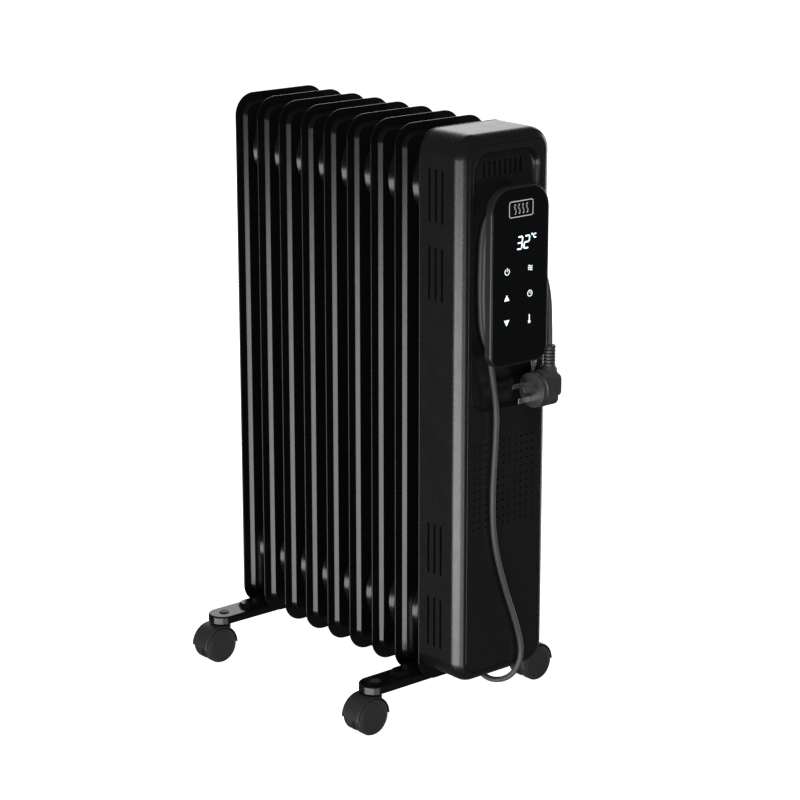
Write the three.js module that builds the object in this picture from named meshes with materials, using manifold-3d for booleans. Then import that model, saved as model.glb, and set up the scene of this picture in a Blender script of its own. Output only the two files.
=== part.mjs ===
// Oil filled radiator heater: nine pressed steel fins joined by necks, a control housing with a
// touch panel pod and cord spool at the front, and two foot brackets on four twin wheel castors.
// Millimetres, +Z up. The control panel faces -Y and +X is its right hand side.
// The origin is on the floor, under the middle of the object without its mains cord.
import * as THREE from 'three';
import { mergeVertices } from 'three/addons/utils/BufferGeometryUtils.js';
import Module from 'manifold-3d';

const wasm = await Module();
wasm.setup();

// ---------------------------------------------------------------- driving dimensions
const gap = 0.3; // between pieces that touch
const arcSteps = 2; // straight lengths in an eighth of a turn

// Fins: two pressed halves seam welded round a flat rim, with oil between them
const finCount = 9;
const finPitch = 38;
const finWidth = 122.5;
const finHeight = 586;
const finCorner = 24;
const finSheet = 0.8; // one pressed half
const finRim = 8.5; // flat welded rim
const finSlope = 4; // width of the drawn edge inside the rim
const finDraw = 5; // drawn depth of each half

// Necks that join the fins' oil spaces
const neckRoot = 42; // radius where the neck leaves the fin
const neckTip = 25; // radius where two necks meet
const neckBelowTop = 61;
const neckAboveBottom = 65;
const neckSides = 12;
const blindBoss = 3.4; // how far the closed bosses of the end fins stand out
const elementPort = 15; // radius of the heating element's hole in the front fin

// Heating element: a bent sheathed rod that lies in the lower necks
const rodRadius = 4;
const rodSpread = 9; // from the neck's axis to each leg
const flangeRadius = 21;
const flangeThick = 4;
const terminalReach = 8; // rod that stands out in front of the flange

// Control housing
const housingInset = 0.25; // each side, inside the fins' outline
const housingBottom = 13.8; // above the fins' bottom edge
const housingFront = 62; // front plane, ahead of the front fin's middle
const housingWall = 2.2;
const roundDeep = 12.6; // rounded front edge, front to back
const roundWide = 10.3; // rounded front edge, across
const lip = 0.5; // flat land between the rounded edge and the front panel

// Cooling slots in the housing's sides
const slotWidth = 3;
const slotHeight = 54;
const slotPitch = 9.6;
const slotsInRow = 3;
const slotSetBack = 37.3; // the middle slot, behind the front plane
const slotDrops = [63, 142, 431, 511]; // middle of each row, below the fins' top

// Front panel with its recess for the pod and the wound cord
const recessWidth = 88;
const recessDepth = 7;
const recessCorner = 20;
const recessTopDrop = 19; // below the fins' top
const recessHeight = 263.7;
const ventCount = 8;
const ventPitch = 6.95;
const ventWidth = 3;
const ventHeight = 16;
const ventDrop = 17; // middle of the vents, below the recess's top

// Control pod and the spool that carries it
const podWidth = 78;
const podHeight = 181.3;
const podThick = 8.3;
const podTopCorner = 25;
const podFootCorner = 14;
const podDrop = 32.7; // pod's top, below the recess's top
const podEdge = 1.6; // shell's rim round the touch panel
const podWall = 1.6;
const touchThick = 1.8;
const spoolLength = 19.2; // space for the cord between the recess and the pod
const spoolWidth = 48;
const spoolHeight = 132;
const spoolWall = 2;

// Boards and switches inside
const boardThick = 1.6;
const shieldThick = 1;
const shieldSetBack = 20; // behind which the shield stands, ahead of the front fin's middle

// Mains cord
const cordRadius = 3;
const cordSides = 8;
const windingWidth = 63; // across the middle of the cord
const windingHeight = 156;
const windingDrop = 131; // middle of the winding, below the recess's top
const windingTurns = 3;
const windingStep = 6.1; // from one turn to the next
const cordLean = 0.358 * Math.PI; // the strain relief leans forward from straight down
const glandRadius = 5.6;
const glandTip = 4.2;
const glandReach = 21; // tapered length, along the cord
const glandForward = 3.6; // the tapered part's root, ahead of the stem
const glandBoss = { wide: 24, deep: 18, high: 6.5 };

// Plug
const plugCordX = 47.5; // where the plug hangs from its cord
const plugCordY = -77;
const plugCordTop = 364.1;
const plugDisc = 18.4; // radius of the pin face
const plugDiscThick = 9;
const plugBlock = { deep: 22, thick: 20, high: 37, corner: 7 };
const plugGrip = { deep: 3, thick: 22, high: 24, corner: 6 };
const reliefRadius = 5.7;
const reliefLength = 25;
const reliefInset = 0.5; // from the plug's rear face to the relief
const pinLength = 18;
const pinWide = 6.3;
const pinThick = 1.6;
const pinSide = 7.9; // the two slanted pins, from the plug's axis
const pinRise = 5;
const pinDrop = 8.5;

// Foot brackets
const bracketLength = 244;
const bracketThick = 1.6;
const bracketDeep = 8.5; // folded wall, top to edge
const bracketBelowDraw = 1.1; // bracket's top below the drawn part of the fins
const bracketFinGap = 2.2; // from the bracket's side to a fin's rim
const plateauLength = 160;
const plateauWidth = 18;
const plateauRise = 4.5;
const stemSpread = 104; // castor stems, from the middle

// U-bolts and wing nuts
const boltRadius = 2.5;
const boltBelow = 12; // thread that stands out below the plateau's sheet
const nutRadius = 4.6;
const nutHeight = 5;
const wingSpan = 20;

// Castors
const wheelRadius = 19.6;
const wheelWidth = 10;
const wheelFromMiddle = 3.7; // inner face of each wheel
const wheelSides = 20;
const axleHeight = wheelRadius;
const trail = 13.45; // from the stem to the axle
const hoodRadius = 22.2;
const hoodWall = 1.5;
const hoodWidth = 26.6;
const webThick = 6.6;
const axleRadius = 3;
const socketRadius = 7;
const stemRadius = 4.5;
const footHeight = 45.5; // fins' bottom edge above the floor

// ---------------------------------------------------------------- worked out from them
const finHalf = finSheet + finDraw;
const neckReach = finPitch / 2 - gap / 2;
const lowerNeck = neckAboveBottom;
const upperNeck = finHeight - neckBelowTop;
const stackLength = (finCount - 1) * finPitch;
const rearMost = stackLength + finHalf + blindBoss;
const housingBack = -(finSheet + gap);
const housingWidth = finWidth - 2 * housingInset;
const housingTop = finHeight - housingInset;
const housingHeight = housingTop - housingBottom;
const housingMiddle = (housingTop + housingBottom) / 2;
const openingWidth = housingWidth - 2 * (roundWide + lip);
const openingHeight = housingHeight - 2 * (roundWide + lip);
const recessTop = finHeight - recessTopDrop;
const recessMiddle = recessTop - recessHeight / 2;
const recessFloor = -(housingFront - recessDepth);
const podBack = recessFloor - spoolLength;
const podFace = podBack - podThick;
const podMiddle = recessTop - podDrop - podHeight / 2;
const windingMiddle = recessTop - windingDrop;
const windingDeep = (windingTurns - 1) * windingStep + 2 * cordRadius;
const windingFront = podBack + 2 * gap;
const bracketTop = finRim - bracketBelowDraw;
const bracketWidth = finPitch - 2 * (finSheet + bracketFinGap);
const stemTop = bracketTop + 0.6;
const glandSetBack = -(finHalf + 1.2 + glandBoss.deep / 2);
const frontToMiddle = (rearMost + podFace) / 2;

// ---------------------------------------------------------------- geometry helpers
/** A rectangle with round corners, drawn about (0, middle); the lower corners may differ. */
function roundedRect(width, height, corner, middle = 0, lower = corner) {
  const x = width / 2;
  const top = middle + height / 2;
  const bottom = middle - height / 2;
  const shape = new THREE.Shape();
  shape.absarc(x - corner, top - corner, corner, 0, Math.PI / 2);
  shape.absarc(corner - x, top - corner, corner, Math.PI / 2, Math.PI);
  shape.absarc(lower - x, bottom + lower, lower, Math.PI, Math.PI * 1.5);
  shape.absarc(x - lower, bottom + lower, lower, Math.PI * 1.5, Math.PI * 2);
  shape.closePath();
  return shape;
}

/** A shape drawn across X and Z, made solid from y = back to y = front, with back > front. */
function alongY(shape, back, front, bevel = {}) {
  const deep = bevel.bevelThickness ?? 0;
  const options = { depth: back - front - 2 * deep, curveSegments: arcSteps };
  const geometry = new THREE.ExtrudeGeometry(shape, { ...options, bevelEnabled: deep > 0, ...bevel });
  return geometry.rotateX(Math.PI / 2).translate(0, back - deep, 0);
}

/** A shape drawn across X and Y, made solid from z = low to z = high. */
function alongZ(shape, low, high) {
  const options = { depth: high - low, bevelEnabled: false, curveSegments: arcSteps };
  return new THREE.ExtrudeGeometry(shape, options).translate(0, 0, low);
}

/** A shape drawn across Y and Z, made solid from x = left to x = right. */
function alongX(shape, left, right) {
  const options = { depth: right - left, bevelEnabled: false, curveSegments: arcSteps };
  const geometry = new THREE.ExtrudeGeometry(shape, options);
  return geometry.rotateX(Math.PI / 2).rotateZ(Math.PI / 2).translate(left, 0, 0);
}

/** A profile of [radius, height] pairs, from the axis round to the axis, turned about Y. */
function turned(profile, sides) {
  const points = profile.map(([radius, height]) => new THREE.Vector2(radius, height));
  return new THREE.LatheGeometry(points, sides, Math.PI / sides);
}

/** A plain round bar about Y, from y = low to y = high. */
function bar(radius, low, high, sides = 12) {
  return turned([[0, low], [radius, low], [radius, high], [0, high]], sides);
}

/** The same bar, stood up about Z. */
function post(radius, low, high, sides = 12) {
  return bar(radius, low, high, sides).rotateX(Math.PI / 2);
}

/** A box from its size and its middle. */
function block(wide, deep, high, x = 0, y = 0, z = 0) {
  return new THREE.BoxGeometry(wide, deep, high).translate(x, y, z);
}

/** A round bar that follows a curve. */
function tube(curve, radius, sides, steps) {
  const section = new THREE.Shape();
  for (let i = 0; i < sides; i += 1) {
    const angle = (i / sides) * Math.PI * 2;
    const point = [radius * Math.cos(angle), radius * Math.sin(angle)];
    if (i === 0) section.moveTo(...point);
    else section.lineTo(...point);
  }
  section.closePath();
  return new THREE.ExtrudeGeometry(section, { extrudePath: curve, steps, curveSegments: 1 });
}

/** A geometry as a solid that can be joined and cut. */
function solid(geometry) {
  geometry.deleteAttribute('normal');
  geometry.deleteAttribute('uv');
  const merged = mergeVertices(geometry, 1e-3);
  const vertProperties = Float32Array.from(merged.attributes.position.array);
  const triVerts = Uint32Array.from(merged.index.array);
  return new wasm.Manifold(new wasm.Mesh({ numProp: 3, vertProperties, triVerts }));
}

/** Several geometries joined, with others cut away. */
function joined(kept, removed = []) {
  let result = solid(kept[0]);
  for (const geometry of kept.slice(1)) result = result.add(solid(geometry));
  for (const geometry of removed) result = result.subtract(solid(geometry));
  return drawnFrom(result);
}

/** A joined solid as a geometry. */
function drawnFrom(body) {
  const mesh = body.getMesh();
  const geometry = new THREE.BufferGeometry();
  geometry.setAttribute('position', new THREE.BufferAttribute(mesh.vertProperties, 3));
  geometry.setIndex(new THREE.BufferAttribute(mesh.triVerts, 1));
  geometry.computeVertexNormals();
  return geometry;
}

// ---------------------------------------------------------------- finishes
const finishes = {
  enamel: { color: 0x0b0b0c, roughness: 0.18, metalness: 0 },
  housingPlastic: { color: 0x1a1a1b, roughness: 0.42, metalness: 0 },
  panelPlastic: { color: 0x101011, roughness: 0.3, metalness: 0 },
  glossPanel: { color: 0x050506, roughness: 0.06, metalness: 0 },
  castorPlastic: { color: 0x202021, roughness: 0.6, metalness: 0 },
  cordJacket: { color: 0x2b2b2d, roughness: 0.55, metalness: 0 },
  plugMoulding: { color: 0x29292a, roughness: 0.5, metalness: 0 },
  zincSteel: { color: 0xa9abad, roughness: 0.35, metalness: 1 },
  shieldSteel: { color: 0x303033, roughness: 0.5, metalness: 0 },
  nickel: { color: 0xc9c6be, roughness: 0.25, metalness: 1 },
  elementSheath: { color: 0x8a7d70, roughness: 0.4, metalness: 1 },
  board: { color: 0x1d4a33, roughness: 0.5, metalness: 0 },
  moulding: { color: 0xd8d4c8, roughness: 0.5, metalness: 0 },
};

/** A named piece with its own material. */
function piece(name, geometry, finish) {
  const mesh = new THREE.Mesh(geometry, new THREE.MeshStandardMaterial(finishes[finish]));
  mesh.name = name;
  return mesh;
}

// ---------------------------------------------------------------- fins
/** The drawn body of a fin, grown inward by a wall: the outer skin at 0, the oil space at a sheet. */
function drawnBody(wall) {
  const edge = finRim + wall;
  const shape = roundedRect(finWidth - 2 * edge, finHeight - 2 * edge, finCorner - edge, finHeight / 2);
  const reach = finHalf - wall;
  const bevelThickness = reach - finSheet / 2;
  return alongY(shape, reach, -reach, {
    bevelThickness, bevelSize: finSlope, bevelOffset: -finSlope, bevelSegments: 1,
  });
}

/** A neck that narrows away from the fin, towards +Y or -Y. */
function neck(height, direction, wall) {
  const profile = [[0, 0], [neckRoot - wall, 0], [neckRoot - wall, finHalf - wall]];
  profile.push([neckTip - wall, neckReach + wall], [0, neckReach + wall]);
  return neckPlaced(profile, height, direction);
}

/** The closed boss of an end fin. */
function blindNeck(height, direction, wall) {
  const face = finHalf + blindBoss - wall;
  const profile = [[0, 0], [neckRoot - wall, 0], [neckRoot - wall, finHalf - wall]];
  profile.push([neckRoot - blindBoss - wall, face], [0, face]);
  return neckPlaced(profile, height, direction);
}

/** A neck's turned shape, at its height on the fin and facing its way. */
function neckPlaced(profile, height, direction) {
  const geometry = turned(profile, neckSides);
  if (direction < 0) geometry.rotateX(Math.PI);
  return geometry.translate(0, 0, height);
}

/** One fin: number 1 is the rearmost, and the last one meets the housing. */
function finGeometry(number) {
  const rim = alongY(roundedRect(finWidth, finHeight, finCorner, finHeight / 2), finSheet, -finSheet);
  const skins = [rim, drawnBody(0)];
  const spaces = [drawnBody(finSheet)];
  for (const height of [lowerNeck, upperNeck]) {
    const backward = number === 1 ? blindNeck : neck;
    const forward = number === finCount ? blindNeck : neck;
    skins.push(backward(height, 1, 0), forward(height, -1, 0));
    spaces.push(backward(height, 1, finSheet), forward(height, -1, finSheet));
  }
  if (number === finCount) {
    const port = bar(elementPort, -finHalf - blindBoss - 1, 0, neckSides);
    spaces.push(port.translate(0, 0, lowerNeck));
  }
  return joined(skins, spaces);
}

/** All the fins, from the rear to the front. */
function finStack() {
  const group = new THREE.Group();
  for (let number = 1; number <= finCount; number += 1) {
    const fin = piece(`fin_${number}`, finGeometry(number), 'enamel');
    fin.position.y = (finCount - number) * finPitch;
    group.add(fin);
  }
  return group;
}

// ---------------------------------------------------------------- heating element
/** The centreline of a rod that runs back, turns round and comes forward again. */
class HairpinCurve extends THREE.Curve {
  constructor(spread, front, back) {
    super();
    this.spread = spread;
    this.front = front;
    this.leg = back - spread - front;
  }

  getPoint(t, target = new THREE.Vector3()) {
    const bend = Math.PI * this.spread;
    const along = t * (2 * this.leg + bend);
    if (along <= this.leg) return target.set(-this.spread, this.front + along, 0);
    const past = along - this.leg - bend;
    if (past >= 0) return target.set(this.spread, this.front + this.leg - past, 0);
    const angle = (along - this.leg) / this.spread;
    const y = this.front + this.leg + this.spread * Math.sin(angle);
    return target.set(-this.spread * Math.cos(angle), y, 0);
  }
}

/** The element and the flange that holds it in the front fin's port. */
function heater() {
  const group = new THREE.Group();
  const seat = -finHalf - blindBoss - gap;
  const front = seat - flangeThick - terminalReach;
  const curve = new HairpinCurve(rodSpread, front, stackLength - finHalf);
  const flange = [bar(flangeRadius, seat - flangeThick, seat, 24)];
  flange.push(bar(elementPort - 1, seat - 1, seat + blindBoss + finSheet, neckSides));
  const holes = [];
  for (const side of [-1, 1]) {
    const hole = bar(rodRadius + gap, seat - flangeThick - 1, 0, 12);
    holes.push(hole.translate(side * rodSpread, 0, 0));
  }
  group.add(piece('heating_element', tube(curve, rodRadius, 8, 38), 'elementSheath'));
  group.add(piece('element_flange', joined(flange, holes), 'zincSteel'));
  group.position.z = lowerNeck;
  return group;
}

// ---------------------------------------------------------------- control housing
/** The housing's outer form, or its inside when it is drawn in by a wall. */
function housingForm(wall) {
  const corner = finCorner - wall;
  const shape = roundedRect(housingWidth - 2 * wall, housingHeight - 2 * wall, corner, housingMiddle);
  const bevel = { bevelThickness: roundDeep, bevelSize: roundWide, bevelOffset: -roundWide };
  const back = housingBack + roundDeep + 1;
  return alongY(shape, back, -housingFront + wall, { ...bevel, bevelSegments: 3 });
}

/** The one piece cover: sides, top, floor and rounded front edge. */
function housingGeometry() {
  const behind = block(housingWidth * 2, 60, finHeight * 2, 0, housingBack + 30, housingMiddle);
  const opening = roundedRect(openingWidth, openingHeight, finCorner - roundWide, housingMiddle);
  const removed = [behind, housingForm(housingWall)];
  removed.push(alongY(opening, -housingFront + roundDeep, -housingFront - 1));
  for (const drop of slotDrops) {
    for (let i = 0; i < slotsInRow; i += 1) {
      const y = -housingFront + slotSetBack + (i - (slotsInRow - 1) / 2) * slotPitch;
      removed.push(block(housingWidth + 10, slotWidth, slotHeight, 0, y, finHeight - drop));
    }
  }
  const drawnWidth = finWidth - 2 * finRim + 3 * gap;
  removed.push(block(drawnWidth, 2 * finHalf + 3 * gap, 2 * finCorner, 0, 0, finRim));
  const floorHole = post(glandRadius + gap, housingBottom - 1, housingBottom + housingWall + 1);
  removed.push(floorHole.translate(0, glandSetBack, 0));
  return joined([housingForm(0)], removed);
}

/** The front panel: a flat plate with a tray let into its upper part. */
function frontPanelGeometry() {
  const face = -housingFront;
  const back = face + housingWall;
  const corner = finCorner - roundWide - gap;
  const plate = roundedRect(openingWidth - 2 * gap, openingHeight - 2 * gap, corner, housingMiddle);
  const outer = recessWidth + 2 * housingWall;
  const tray = roundedRect(outer, recessHeight + 2 * housingWall, recessCorner + housingWall, recessMiddle);
  const hollow = roundedRect(recessWidth, recessHeight, recessCorner, recessMiddle);
  const kept = [alongY(plate, back, face), alongY(tray, recessFloor + housingWall, face)];
  const removed = [alongY(hollow, recessFloor, face - 1)];
  for (let i = 0; i < ventCount; i += 1) {
    const x = (i - (ventCount - 1) / 2) * ventPitch;
    removed.push(block(ventWidth, 4 * housingWall, ventHeight, x, recessFloor, recessTop - ventDrop));
  }
  return joined(kept, removed);
}

/** The sheet that keeps the fins' heat away from the boards. */
function heatShieldGeometry() {
  const inset = housingWall + 1;
  const shape = roundedRect(housingWidth - 2 * inset, housingHeight - 2 * inset, finCorner - inset, housingMiddle);
  const sheet = alongY(shape, -shieldSetBack, -shieldSetBack - shieldThick);
  const hole = bar(elementPort, -shieldSetBack - 5, -shieldSetBack + 5, neckSides);
  return joined([sheet], [hole.translate(0, 0, lowerNeck)]);
}

/** The supply and relay board, with its relay, transformer and capacitor. */
function powerBoardGeometry() {
  const back = -shieldSetBack - shieldThick - 6;
  const middle = housingMiddle - 120;
  const board = alongY(roundedRect(70, 120, 3, middle), back, back - boardThick);
  const relay = block(19, 14, 28, -18, back - boardThick - 6.9, middle + 34);
  const transformer = block(30, 12, 32, 12, back - boardThick - 5.9, middle - 30);
  const capacitor = bar(6, back - boardThick - 12, back - 0.5, 12).translate(22, 0, middle + 30);
  return joined([board, relay, transformer, capacitor]);
}

/** The housing and what it holds. */
function controlHousing() {
  const group = new THREE.Group();
  const shieldFace = -shieldSetBack - shieldThick;
  const cutout = [bar(9, shieldFace - 7, shieldFace - gap, 16), block(24, 2, 10, 0, shieldFace - 2, 0)];
  const terminals = [block(34, 10, 18), block(4, 3, 26, -11, 4, 0), block(4, 3, 26, 11, 4, 0)];
  const terminalBlock = piece('terminal_block', joined(terminals), 'moulding');
  terminalBlock.position.set(-28, shieldFace - 6, lowerNeck + 45);
  const tipSwitch = [block(26, 16, 24), block(34, 3, 8, 0, 6.5, -8)];
  const tipOverSwitch = piece('tip_over_switch', joined(tipSwitch), 'moulding');
  tipOverSwitch.position.set(-28, shieldFace - 9, housingBottom + housingWall + 14);
  const thermalCutout = piece('thermal_cutout', joined(cutout), 'moulding');
  thermalCutout.position.z = housingMiddle + 60;
  group.add(piece('housing_shell', housingGeometry(), 'housingPlastic'));
  group.add(piece('front_panel', frontPanelGeometry(), 'panelPlastic'));
  group.add(piece('heat_shield', heatShieldGeometry(), 'shieldSteel'));
  group.add(piece('power_board', powerBoardGeometry(), 'board'));
  group.add(thermalCutout, terminalBlock, tipOverSwitch);
  return group;
}

// ---------------------------------------------------------------- control pod
/** The pod's outline, drawn in by an inset. */
function podShape(inset) {
  const width = podWidth - 2 * inset;
  const height = podHeight - 2 * inset;
  return roundedRect(width, height, podTopCorner - inset, podMiddle, podFootCorner - inset);
}

/** The pod's back shell: a shallow tray with a ledge for the touch panel. */
function podShellGeometry() {
  const ledge = podFace + touchThick + gap;
  const bevel = { bevelThickness: 1.2, bevelSize: 1.2, bevelOffset: -1.2, bevelSegments: 2 };
  const inside = alongY(podShape(podEdge + podWall), podBack - podWall, podFace - 1);
  const rebate = alongY(podShape(podEdge), ledge, podFace - 1);
  return joined([alongY(podShape(0), podBack, podFace, bevel)], [inside, rebate]);
}

/** The pod, the spool that stands it off the recess, and the display board. */
function controlPod() {
  const group = new THREE.Group();
  const spoolMiddle = windingMiddle;
  const round = spoolWidth / 2 - 0.5;
  const outer = roundedRect(spoolWidth, spoolHeight, round, spoolMiddle);
  const boreWidth = spoolWidth - 2 * spoolWall;
  const inner = roundedRect(boreWidth, spoolHeight - 2 * spoolWall, round - spoolWall, spoolMiddle);
  const [back, front] = [recessFloor - gap, podBack + gap];
  const spool = joined([alongY(outer, back, front)], [alongY(inner, back + 1, front - 1)]);
  const touch = alongY(podShape(podEdge + gap), podFace + touchThick, podFace);
  const boardBack = podBack - podWall - 1;
  const boardShape = roundedRect(podWidth - 16, podHeight - 44, 4, podMiddle);
  group.add(piece('cord_spool', spool, 'panelPlastic'));
  group.add(piece('pod_shell', podShellGeometry(), 'panelPlastic'));
  group.add(piece('touch_panel', touch, 'glossPanel'));
  group.add(piece('display_board', alongY(boardShape, boardBack, boardBack - boardThick), 'board'));
  return group;
}

// ---------------------------------------------------------------- mains cord and plug
// The route from the gland, under the housing's front edge and up to the winding behind the pod
const lowerRoute = [
  [0.3, -31.8, 4.5], [1.2, -37.9, 2.2], [3.5, -44.0, 1.0], [6.8, -49.8, 1.4],
  [10.6, -55.1, 3.3], [14.5, -59.7, 7.1], [18.0, -63.3, 12.9], [20.8, -65.9, 20.7],
  [22.4, -67.3, 31.0], [21.2, -67.4, 46.0], [16.6, -67.2, 63.0], [10.8, -67.0, 80.0],
  [4.9, -67.0, 95.0], [-0.9, -67.0, 111.0], [-6.9, -67.0, 129.0], [-12.5, -67.0, 148.0],
  [-16.6, -67.0, 168.0], [-18.9, -67.0, 190.0], [-19.4, -67.0, 212.0], [-18.6, -67.0, 234.0],
  [-17.2, -67.0, 256.0], [-16.0, -67.0, 278.0], [-16.0, -67.2, 298.0], [-18.3, -67.9, 318.0],
  [-22.6, -69.2, 337.0], [-26.6, -70.3, 354.0], [-27.8, -70.5, 361.0],
];
// The route from the winding's right hand side, round the pod's edge and down to the plug
const plugRoute = [
  [38.3, -60.5, 476.0], [39.8, -62.8, 465.0], [41.8, -66.0, 453.0], [44.6, -69.0, 440.0],
  [47.4, -71.0, 427.0], [49.2, -73.0, 410.0], [48.6, -75.0, 390.0], [47.8, -76.5, 376.0],
  [47.5, -77.0, 364.4],
];

/** A cord's solid along a route. */
function cordRun(name, route, steps) {
  const curve = new THREE.CatmullRomCurve3(route.map((point) => new THREE.Vector3(...point)));
  return piece(name, tube(curve, cordRadius, cordSides, steps), 'cordJacket');
}

/** The winding's oval, at an offset from the middle of the cord. */
function windingOval(offset) {
  const a = windingWidth / 2 + offset;
  const b = windingHeight / 2 + offset;
  const points = [];
  const steps = 40;
  for (let i = 0; i < steps; i += 1) {
    const angle = (i / steps) * Math.PI * 2;
    const rise = Math.sign(Math.sin(angle)) * Math.sqrt(Math.abs(Math.sin(angle)));
    points.push(new THREE.Vector2(a * Math.cos(angle), windingMiddle + b * rise));
  }
  return points;
}

/** The gland under the housing's floor: its stem, its boss and the leaning strain relief. */
function glandGeometry() {
  const profile = [[0, 0], [glandRadius, 0], [glandTip, glandReach], [0, glandReach]];
  const relief = turned(profile, 14).rotateX(-Math.PI / 2 - cordLean);
  relief.translate(0, glandSetBack + glandForward, 0);
  const stem = post(glandRadius, -3, housingWall + gap, 14).translate(0, glandSetBack, 0);
  const { wide, deep, high } = glandBoss;
  const boss = alongZ(roundedRect(wide, deep, 4, glandSetBack), -high, -gap);
  const above = block(wide, 2 * deep, 2 * glandRadius, 0, glandSetBack, glandRadius - gap);
  const behind = block(wide, deep, 4 * high, 0, glandSetBack + deep, 0);
  const underside = joined([relief], [above, behind]);
  return joined([underside, stem, boss]);
}

/** The cord: gland, free run, winding on the spool, and the run to the plug. */
function mainsCord() {
  const group = new THREE.Group();
  const ring = new THREE.Shape(windingOval(cordRadius));
  ring.holes.push(new THREE.Path(windingOval(-cordRadius)));
  const winding = alongY(ring, windingFront + windingDeep, windingFront);
  const gland = piece('cord_gland', glandGeometry(), 'cordJacket');
  gland.position.z = housingBottom;
  group.add(gland, piece('cord_winding', winding, 'cordJacket'));
  group.add(cordRun('cord_lower_run', lowerRoute, 34), cordRun('cord_plug_run', plugRoute, 8));
  return group;
}

/** The plug hangs from its cord with the pins pointing to -X. */
function plug() {
  const group = new THREE.Group();
  const { deep, thick, high, corner } = plugBlock;
  const disc = bar(plugDisc, 0, plugDiscThick, 28).rotateZ(-Math.PI / 2);
  const middle = alongX(roundedRect(thick, high, corner), plugDiscThick - 1, plugDiscThick + deep);
  const gripShape = roundedRect(plugGrip.thick, plugGrip.high, plugGrip.corner, 2);
  const grip = alongX(gripShape, plugDiscThick + deep - 1, plugDiscThick + deep + plugGrip.deep);
  const reliefX = plugDiscThick + deep - reliefRadius - reliefInset;
  const relief = post(reliefRadius, high / 2 - 2, high / 2 + reliefLength).translate(reliefX, 0, 0);
  group.add(piece('plug_body', joined([disc, middle, grip, relief]), 'plugMoulding'));
  const pins = [
    ['plug_pin_line', -pinSide, pinRise, -Math.PI / 6],
    ['plug_pin_neutral', pinSide, pinRise, Math.PI / 6],
    ['plug_pin_earth', 0, -pinDrop, 0],
  ];
  for (const [name, y, z, slant] of pins) {
    const pin = piece(name, block(pinLength, pinThick, pinWide, -pinLength / 2 - gap), 'nickel');
    pin.position.set(0, y, z);
    pin.rotation.x = slant;
    group.add(pin);
  }
  group.position.set(plugCordX - reliefX, plugCordY, plugCordTop - high / 2 - reliefLength);
  return group;
}

// ---------------------------------------------------------------- foot brackets
/** A bracket's outline, or its plateau's, drawn in by an inset. */
function stadium(length, width, inset) {
  const round = width / 2 - inset - 0.2;
  return roundedRect(length - 2 * inset, width - 2 * inset, round);
}

/** A channel bracket with a raised plateau, bolt holes and stem holes. */
function bracketGeometry() {
  const low = bracketTop - bracketDeep;
  const high = bracketTop + plateauRise;
  const boltX = boltSpread();
  const kept = [alongZ(stadium(bracketLength, bracketWidth, 0), low, bracketTop)];
  kept.push(alongZ(stadium(plateauLength, plateauWidth, 0), bracketTop - 1, high));
  const under = bracketTop - bracketThick;
  const removed = [alongZ(stadium(bracketLength, bracketWidth, bracketThick), low - 1, under)];
  removed.push(alongZ(stadium(plateauLength, plateauWidth, bracketThick), low - 1, high - bracketThick));
  for (const side of [-1, 1]) {
    removed.push(post(stemRadius + gap, 0, high + 1, 20).translate(side * stemSpread, 0, 0));
    removed.push(post(boltRadius + gap, 0, high + 1, 10).translate(side * boltX, 0, 0));
  }
  return joined(kept, removed);
}

/** How far a U-bolt's legs stand from the middle: the neck's radius beside the seam, and its own. */
function boltSpread() {
  const beside = boltRadius / (neckReach - finHalf);
  return neckTip + (neckRoot - neckTip) * beside + 2 * gap + boltRadius;
}

/** The centreline of a U-bolt: up, over the neck and down. */
class UBoltCurve extends THREE.Curve {
  constructor(spread, low, high) {
    super();
    this.spread = spread;
    this.low = low;
    this.leg = high - low;
  }

  getPoint(t, target = new THREE.Vector3()) {
    const bend = Math.PI * this.spread;
    const along = t * (2 * this.leg + bend);
    if (along <= this.leg) return target.set(-this.spread, 0, this.low + along);
    const past = along - this.leg - bend;
    if (past >= 0) return target.set(this.spread, 0, this.low + this.leg - past);
    const angle = (along - this.leg) / this.spread;
    const rise = this.spread * Math.sin(angle);
    return target.set(-this.spread * Math.cos(angle), 0, this.low + this.leg + rise);
  }
}

/** A wing nut, seated under the plateau's sheet. */
function wingNutGeometry() {
  const seat = bracketTop + plateauRise - bracketThick - gap;
  const body = post(nutRadius, seat - nutHeight, seat, 6);
  const wings = block(wingSpan, 2, nutHeight + 3, 0, 0, seat - nutHeight / 2 - 1.5 - gap);
  return joined([body, wings], [post(boltRadius + gap, seat - 15, seat + 1, 10)]);
}

/** One bracket with its U-bolt and wing nuts. */
function footBracket(place) {
  const group = new THREE.Group();
  const spread = boltSpread();
  const low = bracketTop + plateauRise - boltBelow;
  const bolt = tube(new UBoltCurve(spread, low, lowerNeck), boltRadius, 8, 22);
  group.add(piece(`${place}_foot_bracket`, bracketGeometry(), 'enamel'));
  group.add(piece(`${place}_u_bolt`, bolt, 'zincSteel'));
  for (const [side, x] of [['left', -spread], ['right', spread]]) {
    const nut = piece(`${place}_wing_nut_${side}`, wingNutGeometry(), 'zincSteel');
    nut.position.x = x;
    group.add(nut);
  }
  return group;
}

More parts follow.
